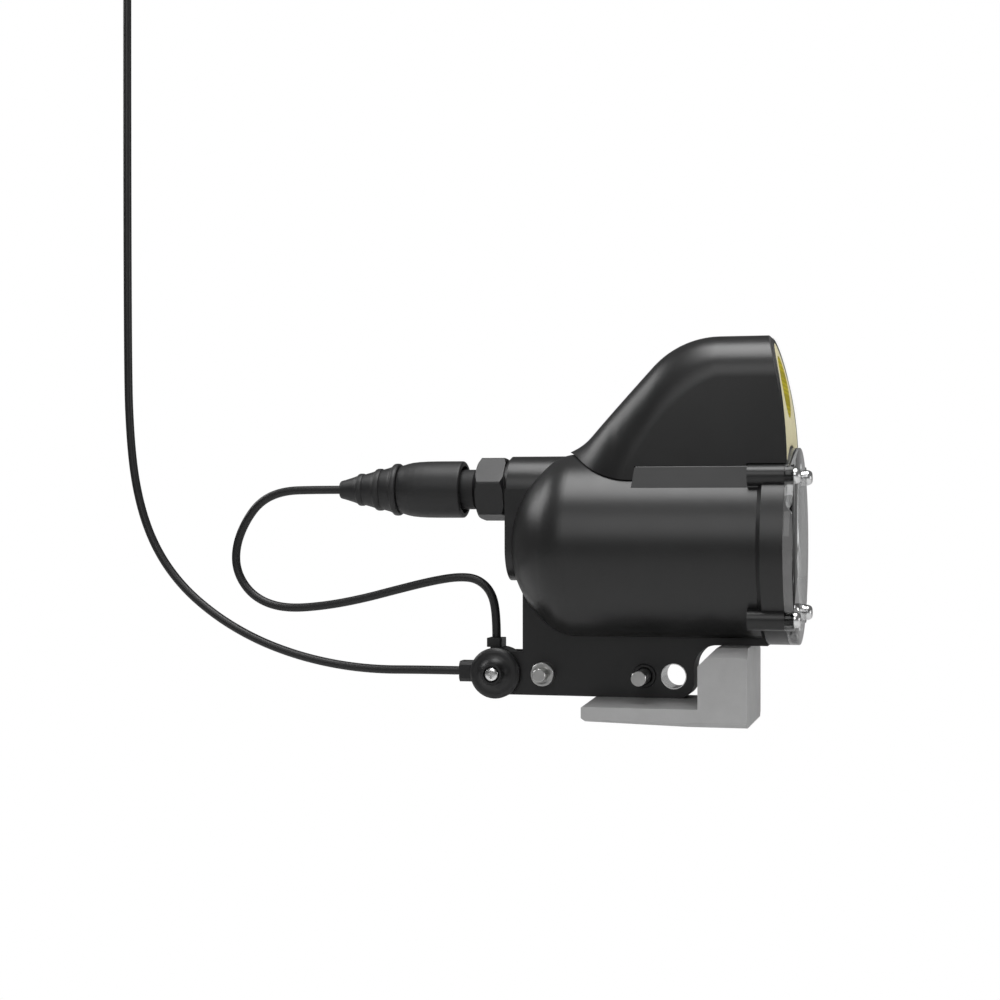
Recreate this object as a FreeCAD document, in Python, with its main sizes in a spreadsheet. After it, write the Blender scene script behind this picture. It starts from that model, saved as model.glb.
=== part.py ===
"""Underwater fishing camera: housing, lamp hood, connector, keel, weight, cable clamp and cables.

All sizes are in millimetres. The working frame has its zero on the optical axis at the seat of the
front window: +X looks forward, +Y to the left of the view and +Z up. Every node is then placed so
that the row's own origin lies in the bore of the suspension eye, from which the camera hangs.
"""

import FreeCAD, Part
import Sketcher
import math
import os

V = FreeCAD.Vector
doc = FreeCAD.newDocument("UnderwaterCamera")
sheet = doc.addObject("Spreadsheet::Sheet", "Sizes")


class Size:
    """A size as a number together with the sheet expression that gives the same number."""

    def __init__(self, value, text):
        self.value = float(value)
        self.text = text

    def __add__(self, other):
        other = plain(other)
        return Size(self.value + other.value, f"({self.text} + {other.text})")

    def __radd__(self, other):
        return plain(other) + self

    def __sub__(self, other):
        other = plain(other)
        return Size(self.value - other.value, f"({self.text} - {other.text})")

    def __rsub__(self, other):
        return plain(other) - self

    def __mul__(self, other):
        other = plain(other)
        return Size(self.value * other.value, f"({self.text} * {other.text})")

    def __rmul__(self, other):
        return plain(other) * self

    def __truediv__(self, other):
        other = plain(other)
        return Size(self.value / other.value, f"({self.text} / {other.text})")

    def __neg__(self):
        return Size(-self.value, f"(-1 * {self.text})")

    def root(self):
        """Its square root."""
        return Size(math.sqrt(self.value), f"sqrt({self.text})")


def plain(value):
    """A bare number as a Size."""
    return value if isinstance(value, Size) else Size(value, repr(float(value)))


sheet_row = 0


def size(alias, value, meaning):
    """Adds one driving size to the sheet: its meaning, its number and its alias."""
    global sheet_row
    sheet_row += 1
    sheet.set(f"A{sheet_row}", meaning)
    sheet.set(f"B{sheet_row}", str(value))
    sheet.setAlias(f"B{sheet_row}", alias)
    return Size(value, f"Sizes.{alias}")


def bind(thing, **properties):
    """Sets properties of an object and ties each to the sheet."""
    for name, value in properties.items():
        value = plain(value)
        setattr(thing, name, value.value)
        thing.setExpression(name, value.text)


# Housing and front window
body_radius = size("body_radius", 52, "outer radius of the housing tube")
housing_wall = size("housing_wall", 6, "wall of the housing tube")
flange_lip = size("flange_lip", 2.7, "height of the front flange over the tube")
flange_length = size("flange_length", 12, "length of the front flange")
flange_ramp = size("flange_ramp", 2.5, "length of the ramp behind the front flange")
dome_swell = size("dome_swell", 6, "difference between the radii of the domed rear end and the tube")
dome_end = size("dome_end", 158.8, "distance of the domed rear end's tip behind the window seat")
bore_depth = size("bore_depth", 112, "depth of the straight bore")
bore_end = size("bore_end", 140, "depth of the end of the cavity")
bore_end_radius = size("bore_end_radius", 22, "radius of the end of the cavity")
window_thickness = size("window_thickness", 5, "thickness of the clear front window")
lug_radius = size("lug_radius", 6, "radius of the screw lugs and of the window's ears")
lug_length = size("lug_length", 20, "length of the screw lugs")
screw_radius = size("screw_radius", 2.5, "radius of the window screws")
screw_length = size("screw_length", 16, "length of a window screw's shank under its head")
head_radius = size("head_radius", 4.4, "radius of the window screws' heads")
head_height = size("head_height", 3.6, "height of the window screws' heads")
sleeve_wall = size("sleeve_wall", 0.75, "wall of the sleeves in the window's ears")
fit_gap = size("fit_gap", 0.05, "radial running clearance of pins, shanks and sleeves")

bore_radius = body_radius - housing_wall
dome_radius = body_radius + dome_swell
dome_centre = dome_end - dome_radius
flange_radius = body_radius + flange_lip
# The screws stand on the flange's own edge, one in each quarter
screw_spacing = flange_radius / math.sqrt(2)
# The seal lies in the middle of the land between the bore and the flange's edge
seal_land = flange_radius - bore_radius
seal_radius = (bore_radius + flange_radius) / 2
seal_section = seal_land * 0.12
groove_half = seal_land * 0.18
groove_depth = seal_land * 0.25

# Camera module
bezel_depth = size("bezel_depth", 20, "depth of the bezel's throat behind the window seat")
lens_tube = size("lens_tube", 14.9, "radius of the lens barrel's front tube")
lens_body = size("lens_body", 18, "radius of the lens barrel's rear body")
lens_radius = size("lens_radius", 11, "radius of the front element's seat")
lens_front = size("lens_front", 14, "depth of the lens barrel's front")
lens_step = size("lens_step", 34, "depth of the step on the lens barrel")
lens_rear = size("lens_rear", 47, "depth of the lens barrel's rear end")
chassis_behind = size("chassis_behind", 44, "depth of the chassis ring's front")
chassis_length = size("chassis_length", 6, "length of the chassis ring")
board_thickness = size("board_thickness", 1.6, "thickness of the circuit boards")
board_gap = size("board_gap", 20, "space between the two round boards")

# Lamp hood on top of the housing
hood_top = size("hood_top", 116.2, "height of the hood's flat top above the optical axis")
hood_half_width = size("hood_half_width", 38, "half the width of the hood")
hood_arch_rise = size("hood_arch_rise", 58, "height of the hood's arched top over its straight sides")
hood_wall = size("hood_wall", 3, "wall of the hood")
hood_flat = size("hood_flat", 39.8, "distance of the end of the hood's flat top behind the window seat")
hood_shoulder = size("hood_shoulder", 29.2, "radius of the round from the flat top into the slope")
hood_slope = size("hood_slope", 48, "angle of the hood's rear slope in degrees")
hood_foot_round = size("hood_foot_round", 30, "radius of the round from the slope onto the housing")
hood_tip = size("hood_tip", 2.87, "distance from the end of the hood's foot to where its sides meet")
hood_front = size("hood_front", 1.9, "distance of the lamp lens's foot in front of the window seat")
lens_curve = size("lens_curve", 242, "radius of the lamp lens's curve seen from the side")
lens_curve_height = size("lens_curve_height", 45, "height of the centre of the lens's curve")
lens_thickness = size("lens_thickness", 1.2, "thickness of the lamp lens")
saddle_height = size("saddle_height", 44.2, "height of the saddle that carries the hood")
saddle_length = size("saddle_length", 82, "distance of the saddle's rear end behind the window seat")
led_height = size("led_height", 89, "height of the centre of the light source")
led_radius = size("led_radius", 17.4, "radius of the light source")
hood_seam = size("hood_seam", 0.8, "gap between the hood and the housing's tube")
hood_lip = size("hood_lip", 1.2, "wall of the hood's floor over the front flange")
lamp_gasket = size("lamp_gasket", 0.6, "thickness of the seal behind the lamp lens")
front_screw_behind = size("front_screw_behind", 28, "distance of the hood's front screw behind the seat")
rear_screw_behind = size("rear_screw_behind", 65, "distance of the hood's rear screw behind the seat")
wire_behind = size("wire_behind", 37.6, "distance of the lamp's wire hole behind the seat")

# Rear connector
plug_height = size("plug_height", 32, "height of the connector's axis above the optical axis")
boss_radius = size("boss_radius", 18.8, "radius of the connector boss")
boss_face = size("boss_face", 160.5, "distance of the boss's rear face behind the window seat")
pad_face = size("pad_face", 159.5, "distance of the rear pad's face behind the window seat")
pad_drop = size("pad_drop", 33.5, "length of the rear pad below the connector's axis")
nut_flats = size("nut_flats", 33.2, "width across the flats of the connector nut")
nut_length = size("nut_length", 16.5, "length of the connector nut")
thread_radius = size("thread_radius", 10, "radius of the receptacle's threaded shank")
barrel_radius = size("barrel_radius", 11.45, "radius of the plug's barrel")
sleeve_radius = size("sleeve_radius", 16.4, "outer radius of the locking sleeve")
sleeve_mouth = size("sleeve_mouth", 187.4, "distance of the sleeve's mouth behind the window seat")
sleeve_length = size("sleeve_length", 38, "length of the locking sleeve")
cable_radius = size("cable_radius", 2.5, "radius of both cables")

# Keel, pins, weight and cable clamp
keel_thickness = size("keel_thickness", 21, "thickness of the keel")
keel_bottom = size("keel_bottom", 85, "depth of the keel's lower edge below the optical axis")
keel_rear = size("keel_rear", 150.9, "distance of the keel's upright rear edge behind the window seat")
keel_nose = size("keel_nose", 53, "distance of the keel's front edge behind the window seat")
rail_depth = size("rail_depth", 55, "depth of the keel rail's underside below the optical axis")
fork_gap = size("fork_gap", 15, "gap between the fork's two ears")
fork_radius = size("fork_radius", 12.25, "radius of the fork's round ends")
pivot_behind = size("pivot_behind", 166.3, "distance of the clamp screw behind the window seat")
pin_line = size("pin_line", 72.75, "depth of the pins' and the clamp screw's axes")
tail_pin_behind = size("tail_pin_behind", 138.6, "distance of the tail pin behind the window seat")
nose_pin_behind = size("nose_pin_behind", 80.9, "distance of the nose pin behind the window seat")
bush_behind = size("bush_behind", 64.3, "distance of the keel bush behind the window seat")
bush_bore = size("bush_bore", 6.7, "radius of the keel bush's bore")
bush_wall = size("bush_wall", 0.5, "wall of the keel bush")
tail_pin_radius = size("tail_pin_radius", 6.65, "radius of the tail pin's cup")
tail_nose_radius = size("tail_nose_radius", 3.75, "radius of the tail pin's nose")
tail_cup_reach = size("tail_cup_reach", 15.7, "distance of the tail pin's cup from the middle plane")
tail_reach = size("tail_reach", 24, "distance of the tail pin's near end from the middle plane")
collar_radius = size("collar_radius", 6.8, "radius of the collar round the nose pin")
collar_depth = size("collar_depth", 3, "depth of the collar in the keel")
nose_pin_radius = size("nose_pin_radius", 4.2, "radius of the nose pin")
tail_shank = size("tail_shank", 4, "radius of the tail pin's threaded shank")
nose_shank = size("nose_shank", 3, "radius of the nose pin's threaded shank")
pin_reach = size("pin_reach", 31, "distance of the nose pin's near end from the middle plane")
nut_thickness = size("nut_thickness", 5, "thickness of the pins' nuts")
weight_half_width = size("weight_half_width", 35, "half the width of the weight")
weight_bottom = size("weight_bottom", 98.3, "depth of the weight's underside")
weight_front = size("weight_front", 20.7, "distance of the weight's front face behind the window seat")
upright_length = size("upright_length", 27, "length of the weight's upright block")
foot_rear = size("foot_rear", 112.4, "distance of the weight's rear end behind the window seat")
clamp_radius = size("clamp_radius", 14.4, "radius of the clamp's near disc")
far_disc_radius = size("far_disc_radius", 11.6, "radius of the clamp's far disc")
disc_thickness = size("disc_thickness", 5.5, "thickness of the clamp's discs")
hub_foot = size("hub_foot", 9.4, "radius of the foot of the near disc's hub")
hub_radius = size("hub_radius", 5.7, "radius of the top of the near disc's hub")
hub_height = size("hub_height", 7, "height of the near disc's hub over its face")
clamp_gap = size("clamp_gap", 0.1, "gap between the clamp's discs and the fork")
core_radius = size("core_radius", 14.3, "radius of the clamp's core")
clamp_bolt = size("clamp_bolt", 2, "radius of the clamp screw")
screw_head = size("screw_head", 4.15, "radius of the clamp screw's head")
gland_width = size("gland_width", 8.8, "width of the upper cable gland")
gland_depth = size("gland_depth", 13, "size of the cable glands across the clamp")
gland_height = size("gland_height", 11.8, "height of the rear cable gland")
gland_behind = size("gland_behind", 168.7, "distance of the upper gland behind the window seat")
gland_top = size("gland_top", 53.3, "depth of the upper gland's outer face")
gland_left = size("gland_left", 189.4, "distance of the rear gland's outer face behind the window seat")

# Suspension eye at the upper end of the main cable
eye_behind = size("eye_behind", 398.6, "distance of the suspension eye behind the window seat")
eye_height = size("eye_height", 366, "height of the suspension eye above the optical axis")
eye_bore = size("eye_bore", 4.5, "radius of the suspension eye's bore")
eye_rim = size("eye_rim", 4, "width of metal round the suspension eye's bore")
eye_thickness = size("eye_thickness", 6, "thickness of the suspension eye")
cable_top = size("cable_top", 336, "height of the main cable's upper end above the optical axis")
doc.recompute()

nodes = {}
seats = {}
ORIGIN = (plain(0), plain(0), plain(0))


def put(thing, x=0, y=0, z=0, rotation=None):
    """Places an object in the working frame and ties its place to the sheet."""
    x, y, z = plain(x), plain(y), plain(z)
    rotation = rotation or FreeCAD.Rotation()
    thing.Placement = FreeCAD.Placement(V(x.value, y.value, z.value), rotation)
    for axis, value in zip("xyz", (x, y, z)):
        thing.setExpression(f"Placement.Base.{axis}", value.text)
    seats[thing.Name] = (x, y, z)
    return thing


def node(name, thing):
    """Makes an object one of the part's nodes, placed in the row's own frame."""
    x, y, z = seats.get(thing.Name, ORIGIN)
    rotation = thing.Placement.Rotation
    put(thing, x + eye_behind, y, z - eye_height, rotation)
    thing.Label = name
    nodes[name] = thing
    return thing


ALONG_X = FreeCAD.Rotation(V(0, 1, 0), 90)
ALONG_Y = FreeCAD.Rotation(V(1, 0, 0), -90)
UPRIGHT = FreeCAD.Rotation()
TURNS = {"X": ALONG_X, "Y": ALONG_Y, "Z": UPRIGHT}


def cylinder(name, axis, radius, length, x=0, y=0, z=0):
    """A cylinder along an axis, from the given point."""
    rod = doc.addObject("Part::Cylinder", name)
    bind(rod, Radius=radius, Height=length)
    return put(rod, x, y, z, TURNS[axis])


def box(name, x, y, z):
    """A box between two planes on each axis, each given as a (low, high) pair."""
    block = doc.addObject("Part::Box", name)
    (x0, x1), (y0, y1), (z0, z1) = [[plain(v) for v in pair] for pair in (x, y, z)]
    bind(block, Length=x1 - x0, Width=y1 - y0, Height=z1 - z0)
    return put(block, x0, y0, z0)


def hexagon(name, axis, flats, length, x=0, y=0, z=0, turn=0):
    """A hexagonal prism along an axis, from the given point."""
    prism = doc.addObject("Part::Prism", name)
    prism.Polygon = 6
    bind(prism, Circumradius=plain(flats) / math.sqrt(3), Height=length)
    spin = FreeCAD.Rotation(V(0, 0, 1), turn)
    return put(prism, x, y, z, TURNS[axis].multiply(spin))


def fuse(name, *shapes):
    """One solid out of several that overlap or touch."""
    whole = doc.addObject("Part::MultiFuse", name)
    whole.Shapes = list(shapes)
    whole.Refine = True
    return whole


def cut(name, base, *tools):
    """The base with each tool taken out of it."""
    for number, tool in enumerate(tools):
        rest = doc.addObject("Part::Cut", f"{name}_{number}")
        rest.Base = base
        rest.Tool = tool
        base = rest
    return base


def common(name, first, second):
    """What two solids share."""
    both = doc.addObject("Part::Common", name)
    both.Base = first
    both.Tool = second
    return both


def group(name, *shapes):
    """Separate solids kept together as one node."""
    together = doc.addObject("Part::Compound", name)
    together.Links = list(shapes)
    return together


def outline(body, name, role, corners):
    """A closed sketch through corners on one of the body's own planes, each corner tied to the sheet."""
    sketch = body.newObject("Sketcher::SketchObject", name)
    plane = [feature for feature in body.Origin.OriginFeatures if feature.Role == role][0]
    sketch.AttachmentSupport = [(plane, "")]
    sketch.MapMode = "FlatFace"
    corners = [(plain(u), plain(v)) for u, v in corners]
    count = len(corners)
    for start in range(count):
        (u0, v0), (u1, v1) = corners[start], corners[(start + 1) % count]
        sketch.addGeometry(Part.LineSegment(V(u0.value, v0.value, 0), V(u1.value, v1.value, 0)))
    for line in range(count):
        sketch.addConstraint(Sketcher.Constraint("Coincident", line, 2, (line + 1) % count, 1))
    for line, (u, v) in enumerate(corners):
        for kind, value, axis in (("DistanceX", u, -2), ("DistanceY", v, -1)):
            if value.value == 0:
                sketch.addConstraint(Sketcher.Constraint("PointOnObject", line, 1, axis))
                continue
            made = sketch.addConstraint(Sketcher.Constraint(kind, -1, 1, line, 1, value.value))
            sketch.setExpression(f"Constraints[{made}]", value.text)
    return sketch


def turned(name, axis, corners, x=0, y=0, z=0):
    """A turned piece: corners are (along, radius) for the X axis and (radius, along) for Y and Z."""
    body = doc.addObject("PartDesign::Body", name)
    role = "XY_Plane" if axis == "Y" else "XZ_Plane"
    sketch = outline(body, name + "_profile", role, corners)
    revolution = body.newObject("PartDesign::Revolution", name + "_turn")
    revolution.Profile = sketch
    revolution.ReferenceAxis = (sketch, ["H_Axis" if axis == "X" else "V_Axis"])
    revolution.Angle = 360
    return put(body, x, y, z)


def plate(name, role, corners, thickness, x=0, y=0, z=0):
    """A plate of a given outline, half its thickness each side of the sketch's plane."""
    body = doc.addObject("PartDesign::Body", name)
    sketch = outline(body, name + "_outline", role, corners)
    pad = body.newObject("PartDesign::Pad", name + "_pad")
    pad.Profile = sketch
    bind(pad, Length=thickness)
    pad.SideType = "Symmetric"
    return put(body, x, y, z)


def rounded(name, body, radius, chosen):
    """Rounds the edges of a body that the given test picks by their middle point and direction."""
    doc.recompute()
    fillet = body.newObject("PartDesign::Fillet", name)
    base = body.Group[-2]
    picked = []
    for number, edge in enumerate(base.Shape.Edges):
        middle = edge.valueAt((edge.FirstParameter + edge.LastParameter) / 2)
        if chosen(middle, edge.tangentAt(edge.FirstParameter)):
            picked.append(f"Edge{number + 1}")
    fillet.Base = (base, picked)
    bind(fillet, Radius=radius)
    return fillet


def eased(corners, soft, share=0.5, steps=4):
    """Corners with the chosen ones swept round, each over a share of its two sides."""
    smooth = []
    for index, corner in enumerate(corners):
        if index not in soft:
            smooth.append(corner)
            continue
        before, after = corners[index - 1], corners[(index + 1) % len(corners)]
        starts = [middle + (side - middle) * share for middle, side in zip(map(plain, corner), before)]
        ends = [middle + (side - middle) * share for middle, side in zip(map(plain, corner), after)]
        for step in range(steps + 1):
            t = step / steps
            smooth.append(
                tuple(
                    start * (1 - t) ** 2 + middle * (2 * t * (1 - t)) + end * t**2
                    for start, middle, end in zip(starts, corner, ends)
                )
            )
    places = [tuple(round(plain(part).value, 6) for part in corner) for corner in smooth]
    return [corner for index, corner in enumerate(smooth) if places[index] != places[index - 1]]


def cross_recess(name, axis, half_length, half_width, depth_span, x=0, y=0, z=0):
    """Two crossed blades that cut a driver recess into a head, between two depths along its axis."""
    first, last = depth_span
    long_span, short_span = (-half_length, half_length), (-half_width, half_width)
    blades = []
    for number, (one, other) in enumerate(((long_span, short_span), (short_span, long_span))):
        spans = [(one[0], one[1]), (other[0], other[1])]
        spans.insert("XYZ".index(axis), (first, last))
        spans = [(low + at, high + at) for (low, high), at in zip(spans, (plain(x), plain(y), plain(z)))]
        blades.append(box(f"{name}_{number}", *spans))
    return blades


def feature(name, shape):
    """A solid made by formula from the sheet's sizes."""
    made = doc.addObject("Part::Feature", name)
    made.Shape = shape
    return put(made)


# The dome meets the tube in a round whose centre lies on both offsets
BLEND_RADIUS = size("blend_radius", 25, "radius of the round between the dome and the tube")


def housing_skin(radius, extra):
    """The solid inside the housing's outer surface, grown by extra: tube, round and dome."""
    blend = BLEND_RADIUS.value
    tube = radius.value + extra
    dome = dome_radius.value + extra
    middle = -dome_centre.value
    rise = radius.value - blend
    blend_x = middle - math.sqrt((dome_radius.value - blend) ** 2 - rise**2)
    reach = dome / (dome_radius.value - blend)
    touch = V(middle + (blend_x - middle) * reach, 0, rise * reach)
    turn = blend + extra
    half_way = V(blend_x - middle, 0, rise).normalize() + V(0, 0, 1)
    crown = V(blend_x, 0, rise) + half_way.normalize() * turn
    pole = V(middle - dome, 0, 0)
    slope = math.atan2(touch.z, middle - touch.x) / 2
    shoulder = V(middle - dome * math.cos(slope), 0, dome * math.sin(slope))
    edges = [
        Part.Arc(pole, shoulder, touch).toShape(),
        Part.Arc(touch, crown, V(blend_x, 0, tube)).toShape(),
        Part.LineSegment(V(blend_x, 0, tube), V(extra, 0, tube)).toShape(),
        Part.LineSegment(V(extra, 0, tube), V(extra, 0, 0)).toShape(),
        Part.LineSegment(V(extra, 0, 0), pole).toShape(),
    ]
    return Part.Face(Part.Wire(edges)).revolve(V(0, 0, 0), V(1, 0, 0), 360)


# The saddle's rear end leans back by this much over its height
SADDLE_DROP = 11.7
SADDLE_LEAN = 1.4


def flange_skin(extra):
    """The solid of the front flange and the ramp behind it, grown by extra."""
    high = flange_radius.value + extra
    low = body_radius.value + extra
    step = -flange_length.value - extra * 0.4
    foot = step - flange_ramp.value
    points = [V(1, 0, 0), V(1, 0, high), V(step, 0, high), V(foot, 0, low), V(foot, 0, 0), V(1, 0, 0)]
    return Part.Face(Part.makePolygon(points)).revolve(V(0, 0, 0), V(1, 0, 0), 360)


# Housing: tube, dome, flange, lugs, saddle, connector boss and rear pad in one moulding
def make_housing():
    """The housing with its bore, seal groove, screw holes and connector hole."""
    skin = feature("housing_skin", housing_skin(body_radius, 0))
    flange = turned(
        "front_flange",
        "X",
        [
            (0, 0),
            (0, flange_radius),
            (-flange_length, flange_radius),
            (-flange_length - flange_ramp, body_radius),
            (-flange_length - flange_ramp, 0),
        ],
    )
    saddle_top = hood_half_width + 0.3
    saddle_foot = hood_half_width + 2.8
    saddle_low = saddle_height - SADDLE_DROP
    saddle_across = plate(
        "saddle_across",
        "YZ_Plane",
        [
            (-saddle_foot, saddle_low),
            (saddle_foot, saddle_low),
            (saddle_top, saddle_height - 0.6),
            (saddle_top - 0.6, saddle_height),
            (0.6 - saddle_top, saddle_height),
            (-saddle_top, saddle_height - 0.6),
        ],
        saddle_length * 3,
    )
    saddle_along = plate(
        "saddle_along",
        "XZ_Plane",
        [
            (-flange_length, saddle_low),
            (-flange_length, saddle_height),
            (1 - saddle_length, saddle_height),
            (0.2 - saddle_length, saddle_height - 0.8),
            (-saddle_length - SADDLE_LEAN, saddle_low),
        ],
        saddle_foot * 3,
    )
    saddle = common("saddle", saddle_across, saddle_along)
    pieces = [skin, flange, saddle]
    for side, y in (("near", -screw_spacing), ("far", screw_spacing)):
        for level, z in (("upper", screw_spacing), ("lower", -screw_spacing)):
            lug = cylinder(f"lug_{side}_{level}", "X", lug_radius, lug_length, -lug_length, y, z)
            web_y = (y, y + lug_radius) if side == "near" else (y - lug_radius, y)
            web_z = (z - lug_radius - 4, z) if level == "upper" else (z, z + lug_radius + 2.5)
            web = box(f"web_{side}_{level}", (-lug_length, 0), web_y, web_z)
            pieces += [lug, web]
    boss = turned(
        "connector_boss",
        "X",
        [
            (-boss_face, 0),
            (-boss_face, boss_radius - 2),
            (2 - boss_face, boss_radius),
            (-dome_centre - 20, boss_radius),
            (-dome_centre - 20, 0),
        ],
        z=plug_height,
    )
    pad_column = box(
        "pad_column",
        (-pad_face, -dome_centre - 30),
        (-boss_radius, boss_radius),
        (plug_height - pad_drop, plug_height),
    )
    pad_length = pad_face - dome_centre - 30
    pad_end = cylinder("pad_end", "X", boss_radius, pad_length, -pad_face, 0, plug_height - pad_drop)
    pieces += [boss, pad_column, pad_end]
    solid = fuse("housing_solid", *pieces)
    bore = turned(
        "bore",
        "X",
        [
            (1, 0),
            (1, bore_radius),
            (-bore_depth, bore_radius),
            (-bore_end, bore_end_radius),
            (-bore_end, 0),
        ],
    )
    groove = turned(
        "seal_groove",
        "X",
        [
            (1, seal_radius - groove_half),
            (1, seal_radius + groove_half),
            (-groove_depth, seal_radius + groove_half),
            (-groove_depth, seal_radius - groove_half),
        ],
    )
    connector_hole = cylinder("connector_hole", "X", thread_radius + fit_gap, 60, -boss_face - 1, 0, plug_height)
    wire_hole = cylinder("wire_hole", "Z", 6, 20, -wire_behind, 0, bore_radius - 4)
    tools = [bore, groove, connector_hole, wire_hole]
    for number, (y, z) in enumerate(screw_places()):
        tools.append(
            cylinder(f"lug_hole_{number}", "X", screw_radius + fit_gap, screw_length, -screw_length + 3, y, z)
        )
    for number, x in enumerate(HOOD_SCREWS):
        tools.append(cylinder(f"hood_hole_{number}", "Z", 2 + fit_gap, 14, x, 0, bore_radius - 1))
    for number, x in enumerate(KEEL_SCREWS):
        tools.append(cylinder(f"keel_hole_{number}", "Z", 2.5 + fit_gap, 14, x, 0, -bore_radius - 13))
    node("housing", cut("housing_cut", solid, *tools))


HOOD_SCREWS = (-front_screw_behind, -rear_screw_behind)
KEEL_SCREWS = (7 - bore_depth, 20 - bore_depth)


def screw_places():
    """The four window screws' places across the axis."""
    return [(y, z) for y in (-screw_spacing, screw_spacing) for z in (-screw_spacing, screw_spacing)]


# Front window, its seal and its screws
def make_window():
    """The clear window plate with four ears, its face seal, sleeves and screws."""
    sleeve_outer = screw_radius + fit_gap + sleeve_wall
    disc = cylinder("window_disc", "X", flange_radius, window_thickness)
    ears = []
    holes = []
    for number, (y, z) in enumerate(screw_places()):
        ears.append(cylinder(f"window_ear_{number}", "X", lug_radius, window_thickness, 0, y, z))
        reach = window_thickness + 2
        holes.append(cylinder(f"window_hole_{number}", "X", sleeve_outer + fit_gap, reach, -1, y, z))
    node("window_plate", cut("window_cut", fuse("window_solid", disc, *ears), *holes))
    seal = doc.addObject("Part::Torus", "seal_ring")
    bind(seal, Radius1=seal_radius, Radius2=seal_section)
    put(seal, -seal_section - fit_gap, 0, 0, ALONG_X)
    node("window_seal", seal)
    sleeves = []
    screws = []
    seat = window_thickness
    top = seat + head_height
    for number, (y, z) in enumerate(screw_places()):
        tube = cylinder(f"ear_sleeve_{number}", "X", sleeve_outer, window_thickness, 0, y, z)
        inside = cylinder(f"ear_sleeve_bore_{number}", "X", screw_radius + fit_gap, seat + 2, -1, y, z)
        sleeves.append(cut(f"ear_sleeve_cut_{number}", tube, inside))
        head = eased(
            [
                (seat - screw_length, 0),
                (seat - screw_length, screw_radius),
                (seat, screw_radius),
                (seat, head_radius),
                (seat + head_height * 0.4, head_radius),
                (top, head_radius * 0.75),
                (top, 0),
            ],
            (4, 5),
        )
        screw = turned(f"window_screw_{number}", "X", head, y=y, z=z)
        recess = cross_recess(f"window_recess_{number}", "X", 2.2, 0.5, (top - 1.6, top + 1), 0, y, z)
        screws.append(cut(f"window_screw_cut_{number}", screw, *recess))
    node("window_sleeves", group("sleeve_set", *sleeves))
    node("window_screws", group("screw_set", *screws))


# Camera module behind the window
def make_camera_module():
    """The bezel, the lens and the boards on their chassis ring."""
    slip = bore_radius - 0.1
    node(
        "inner_bezel",
        turned(
            "bezel",
            "X",
            [
                (-3, slip),
                (-6, slip),
                (-bezel_depth, lens_tube + 2.1),
                (-bezel_depth, lens_tube + 0.1),
                (2 - bezel_depth, lens_tube + 0.1),
                (-3, bore_radius - 3),
            ],
        ),
    )
    throat = lens_radius - 3
    node(
        "lens_barrel",
        turned(
            "barrel",
            "X",
            [
                (-lens_front, lens_radius),
                (-lens_front, lens_tube),
                (-lens_step, lens_tube),
                (-lens_step, lens_body),
                (-lens_rear, lens_body),
                (-lens_rear, throat),
                (-lens_front - 6, throat),
                (-lens_front - 6, lens_radius),
            ],
        ),
    )
    rim = lens_radius - fit_gap
    element = eased(
        [
            (-lens_front - 6, 0),
            (-lens_front - 6, rim),
            (-lens_front - 1.5, rim),
            (1.6 - lens_front, rim * 0.62),
            (1.8 - lens_front, 0),
        ],
        (3,),
        0.8,
        6,
    )
    node("front_element", turned("element", "X", element))
    ring_inner, ring_outer = lens_tube + 0.1, lens_body - 0.5
    ring_front, ring_rear = 5 - lens_step, 0.1 - lens_step
    ring = [(ring_front, ring_inner), (ring_front, ring_outer), (ring_rear, ring_outer), (ring_rear, ring_inner)]
    node("lens_lock_ring", turned("lock_ring", "X", ring))
    chassis_rear = -chassis_behind - chassis_length
    inner = bore_radius - 8
    chassis = [(-chassis_behind, inner), (-chassis_behind, slip), (chassis_rear, slip), (chassis_rear, inner)]
    node("chassis_ring", turned("chassis", "X", chassis))
    board_radius = bore_radius - 6
    sensor_rear = chassis_rear - board_thickness
    node("sensor_board", cylinder("sensor_disc", "X", board_radius, board_thickness, sensor_rear))
    node("image_sensor", box("sensor_chip", (chassis_rear, chassis_rear + 2), (-6, 6), (-5, 5)))
    main_front = sensor_rear - board_gap
    main_rear = main_front - board_thickness
    node("main_board", cylinder("main_disc", "X", board_radius, board_thickness, main_rear))
    spacers = []
    for number in range(3):
        angle = math.radians(90 + 120 * number)
        y, z = [(bore_radius - 12) * round(part, 4) for part in (math.cos(angle), math.sin(angle))]
        spacers.append(cylinder(f"spacer_{number}", "X", 3, board_gap, main_front, y, z))
    node("board_spacers", group("spacer_set", *spacers))


# Lamp hood
def hood_line():
    """Where the hood's top changes form: ends of flat, slope and foot, and the heights there."""
    slope = math.radians(hood_slope.value)
    slope_start = -hood_flat.value - hood_shoulder.value * math.sin(slope)
    start_height = hood_top.value - hood_shoulder.value * (1 - math.cos(slope))
    low = body_radius.value - 1
    end_height = low + hood_foot_round.value * (1 - math.cos(slope))
    slope_end = slope_start - (start_height - end_height) / math.tan(slope)
    foot_end = slope_end - hood_foot_round.value * math.sin(slope)
    return slope_start, start_height, slope_end, foot_end, low


def hood_profile(x, inset):
    """Half width, height of the top and rise of the arch of the hood's section at x."""
    slope_start, start_height, slope_end, foot_end, low = hood_line()
    flat_end = -hood_flat.value
    shoulder, foot = hood_shoulder.value, hood_foot_round.value
    if x > flat_end:
        height = hood_top.value
    elif x > slope_start:
        height = hood_top.value - shoulder + math.sqrt(shoulder**2 - (x - flat_end) ** 2)
    elif x > slope_end:
        height = start_height + (x - slope_start) * math.tan(math.radians(hood_slope.value))
    else:
        height = low + foot - math.sqrt(foot**2 - (x - foot_end) ** 2)
    width = hood_half_width.value
    closing = foot_end + hood_tip.value + width
    if x < closing:
        width = math.sqrt(width**2 - (x - closing) ** 2)
    rise = min(hood_arch_rise.value, height - low * 0.65)
    return width - inset, height - inset, rise - inset


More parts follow.
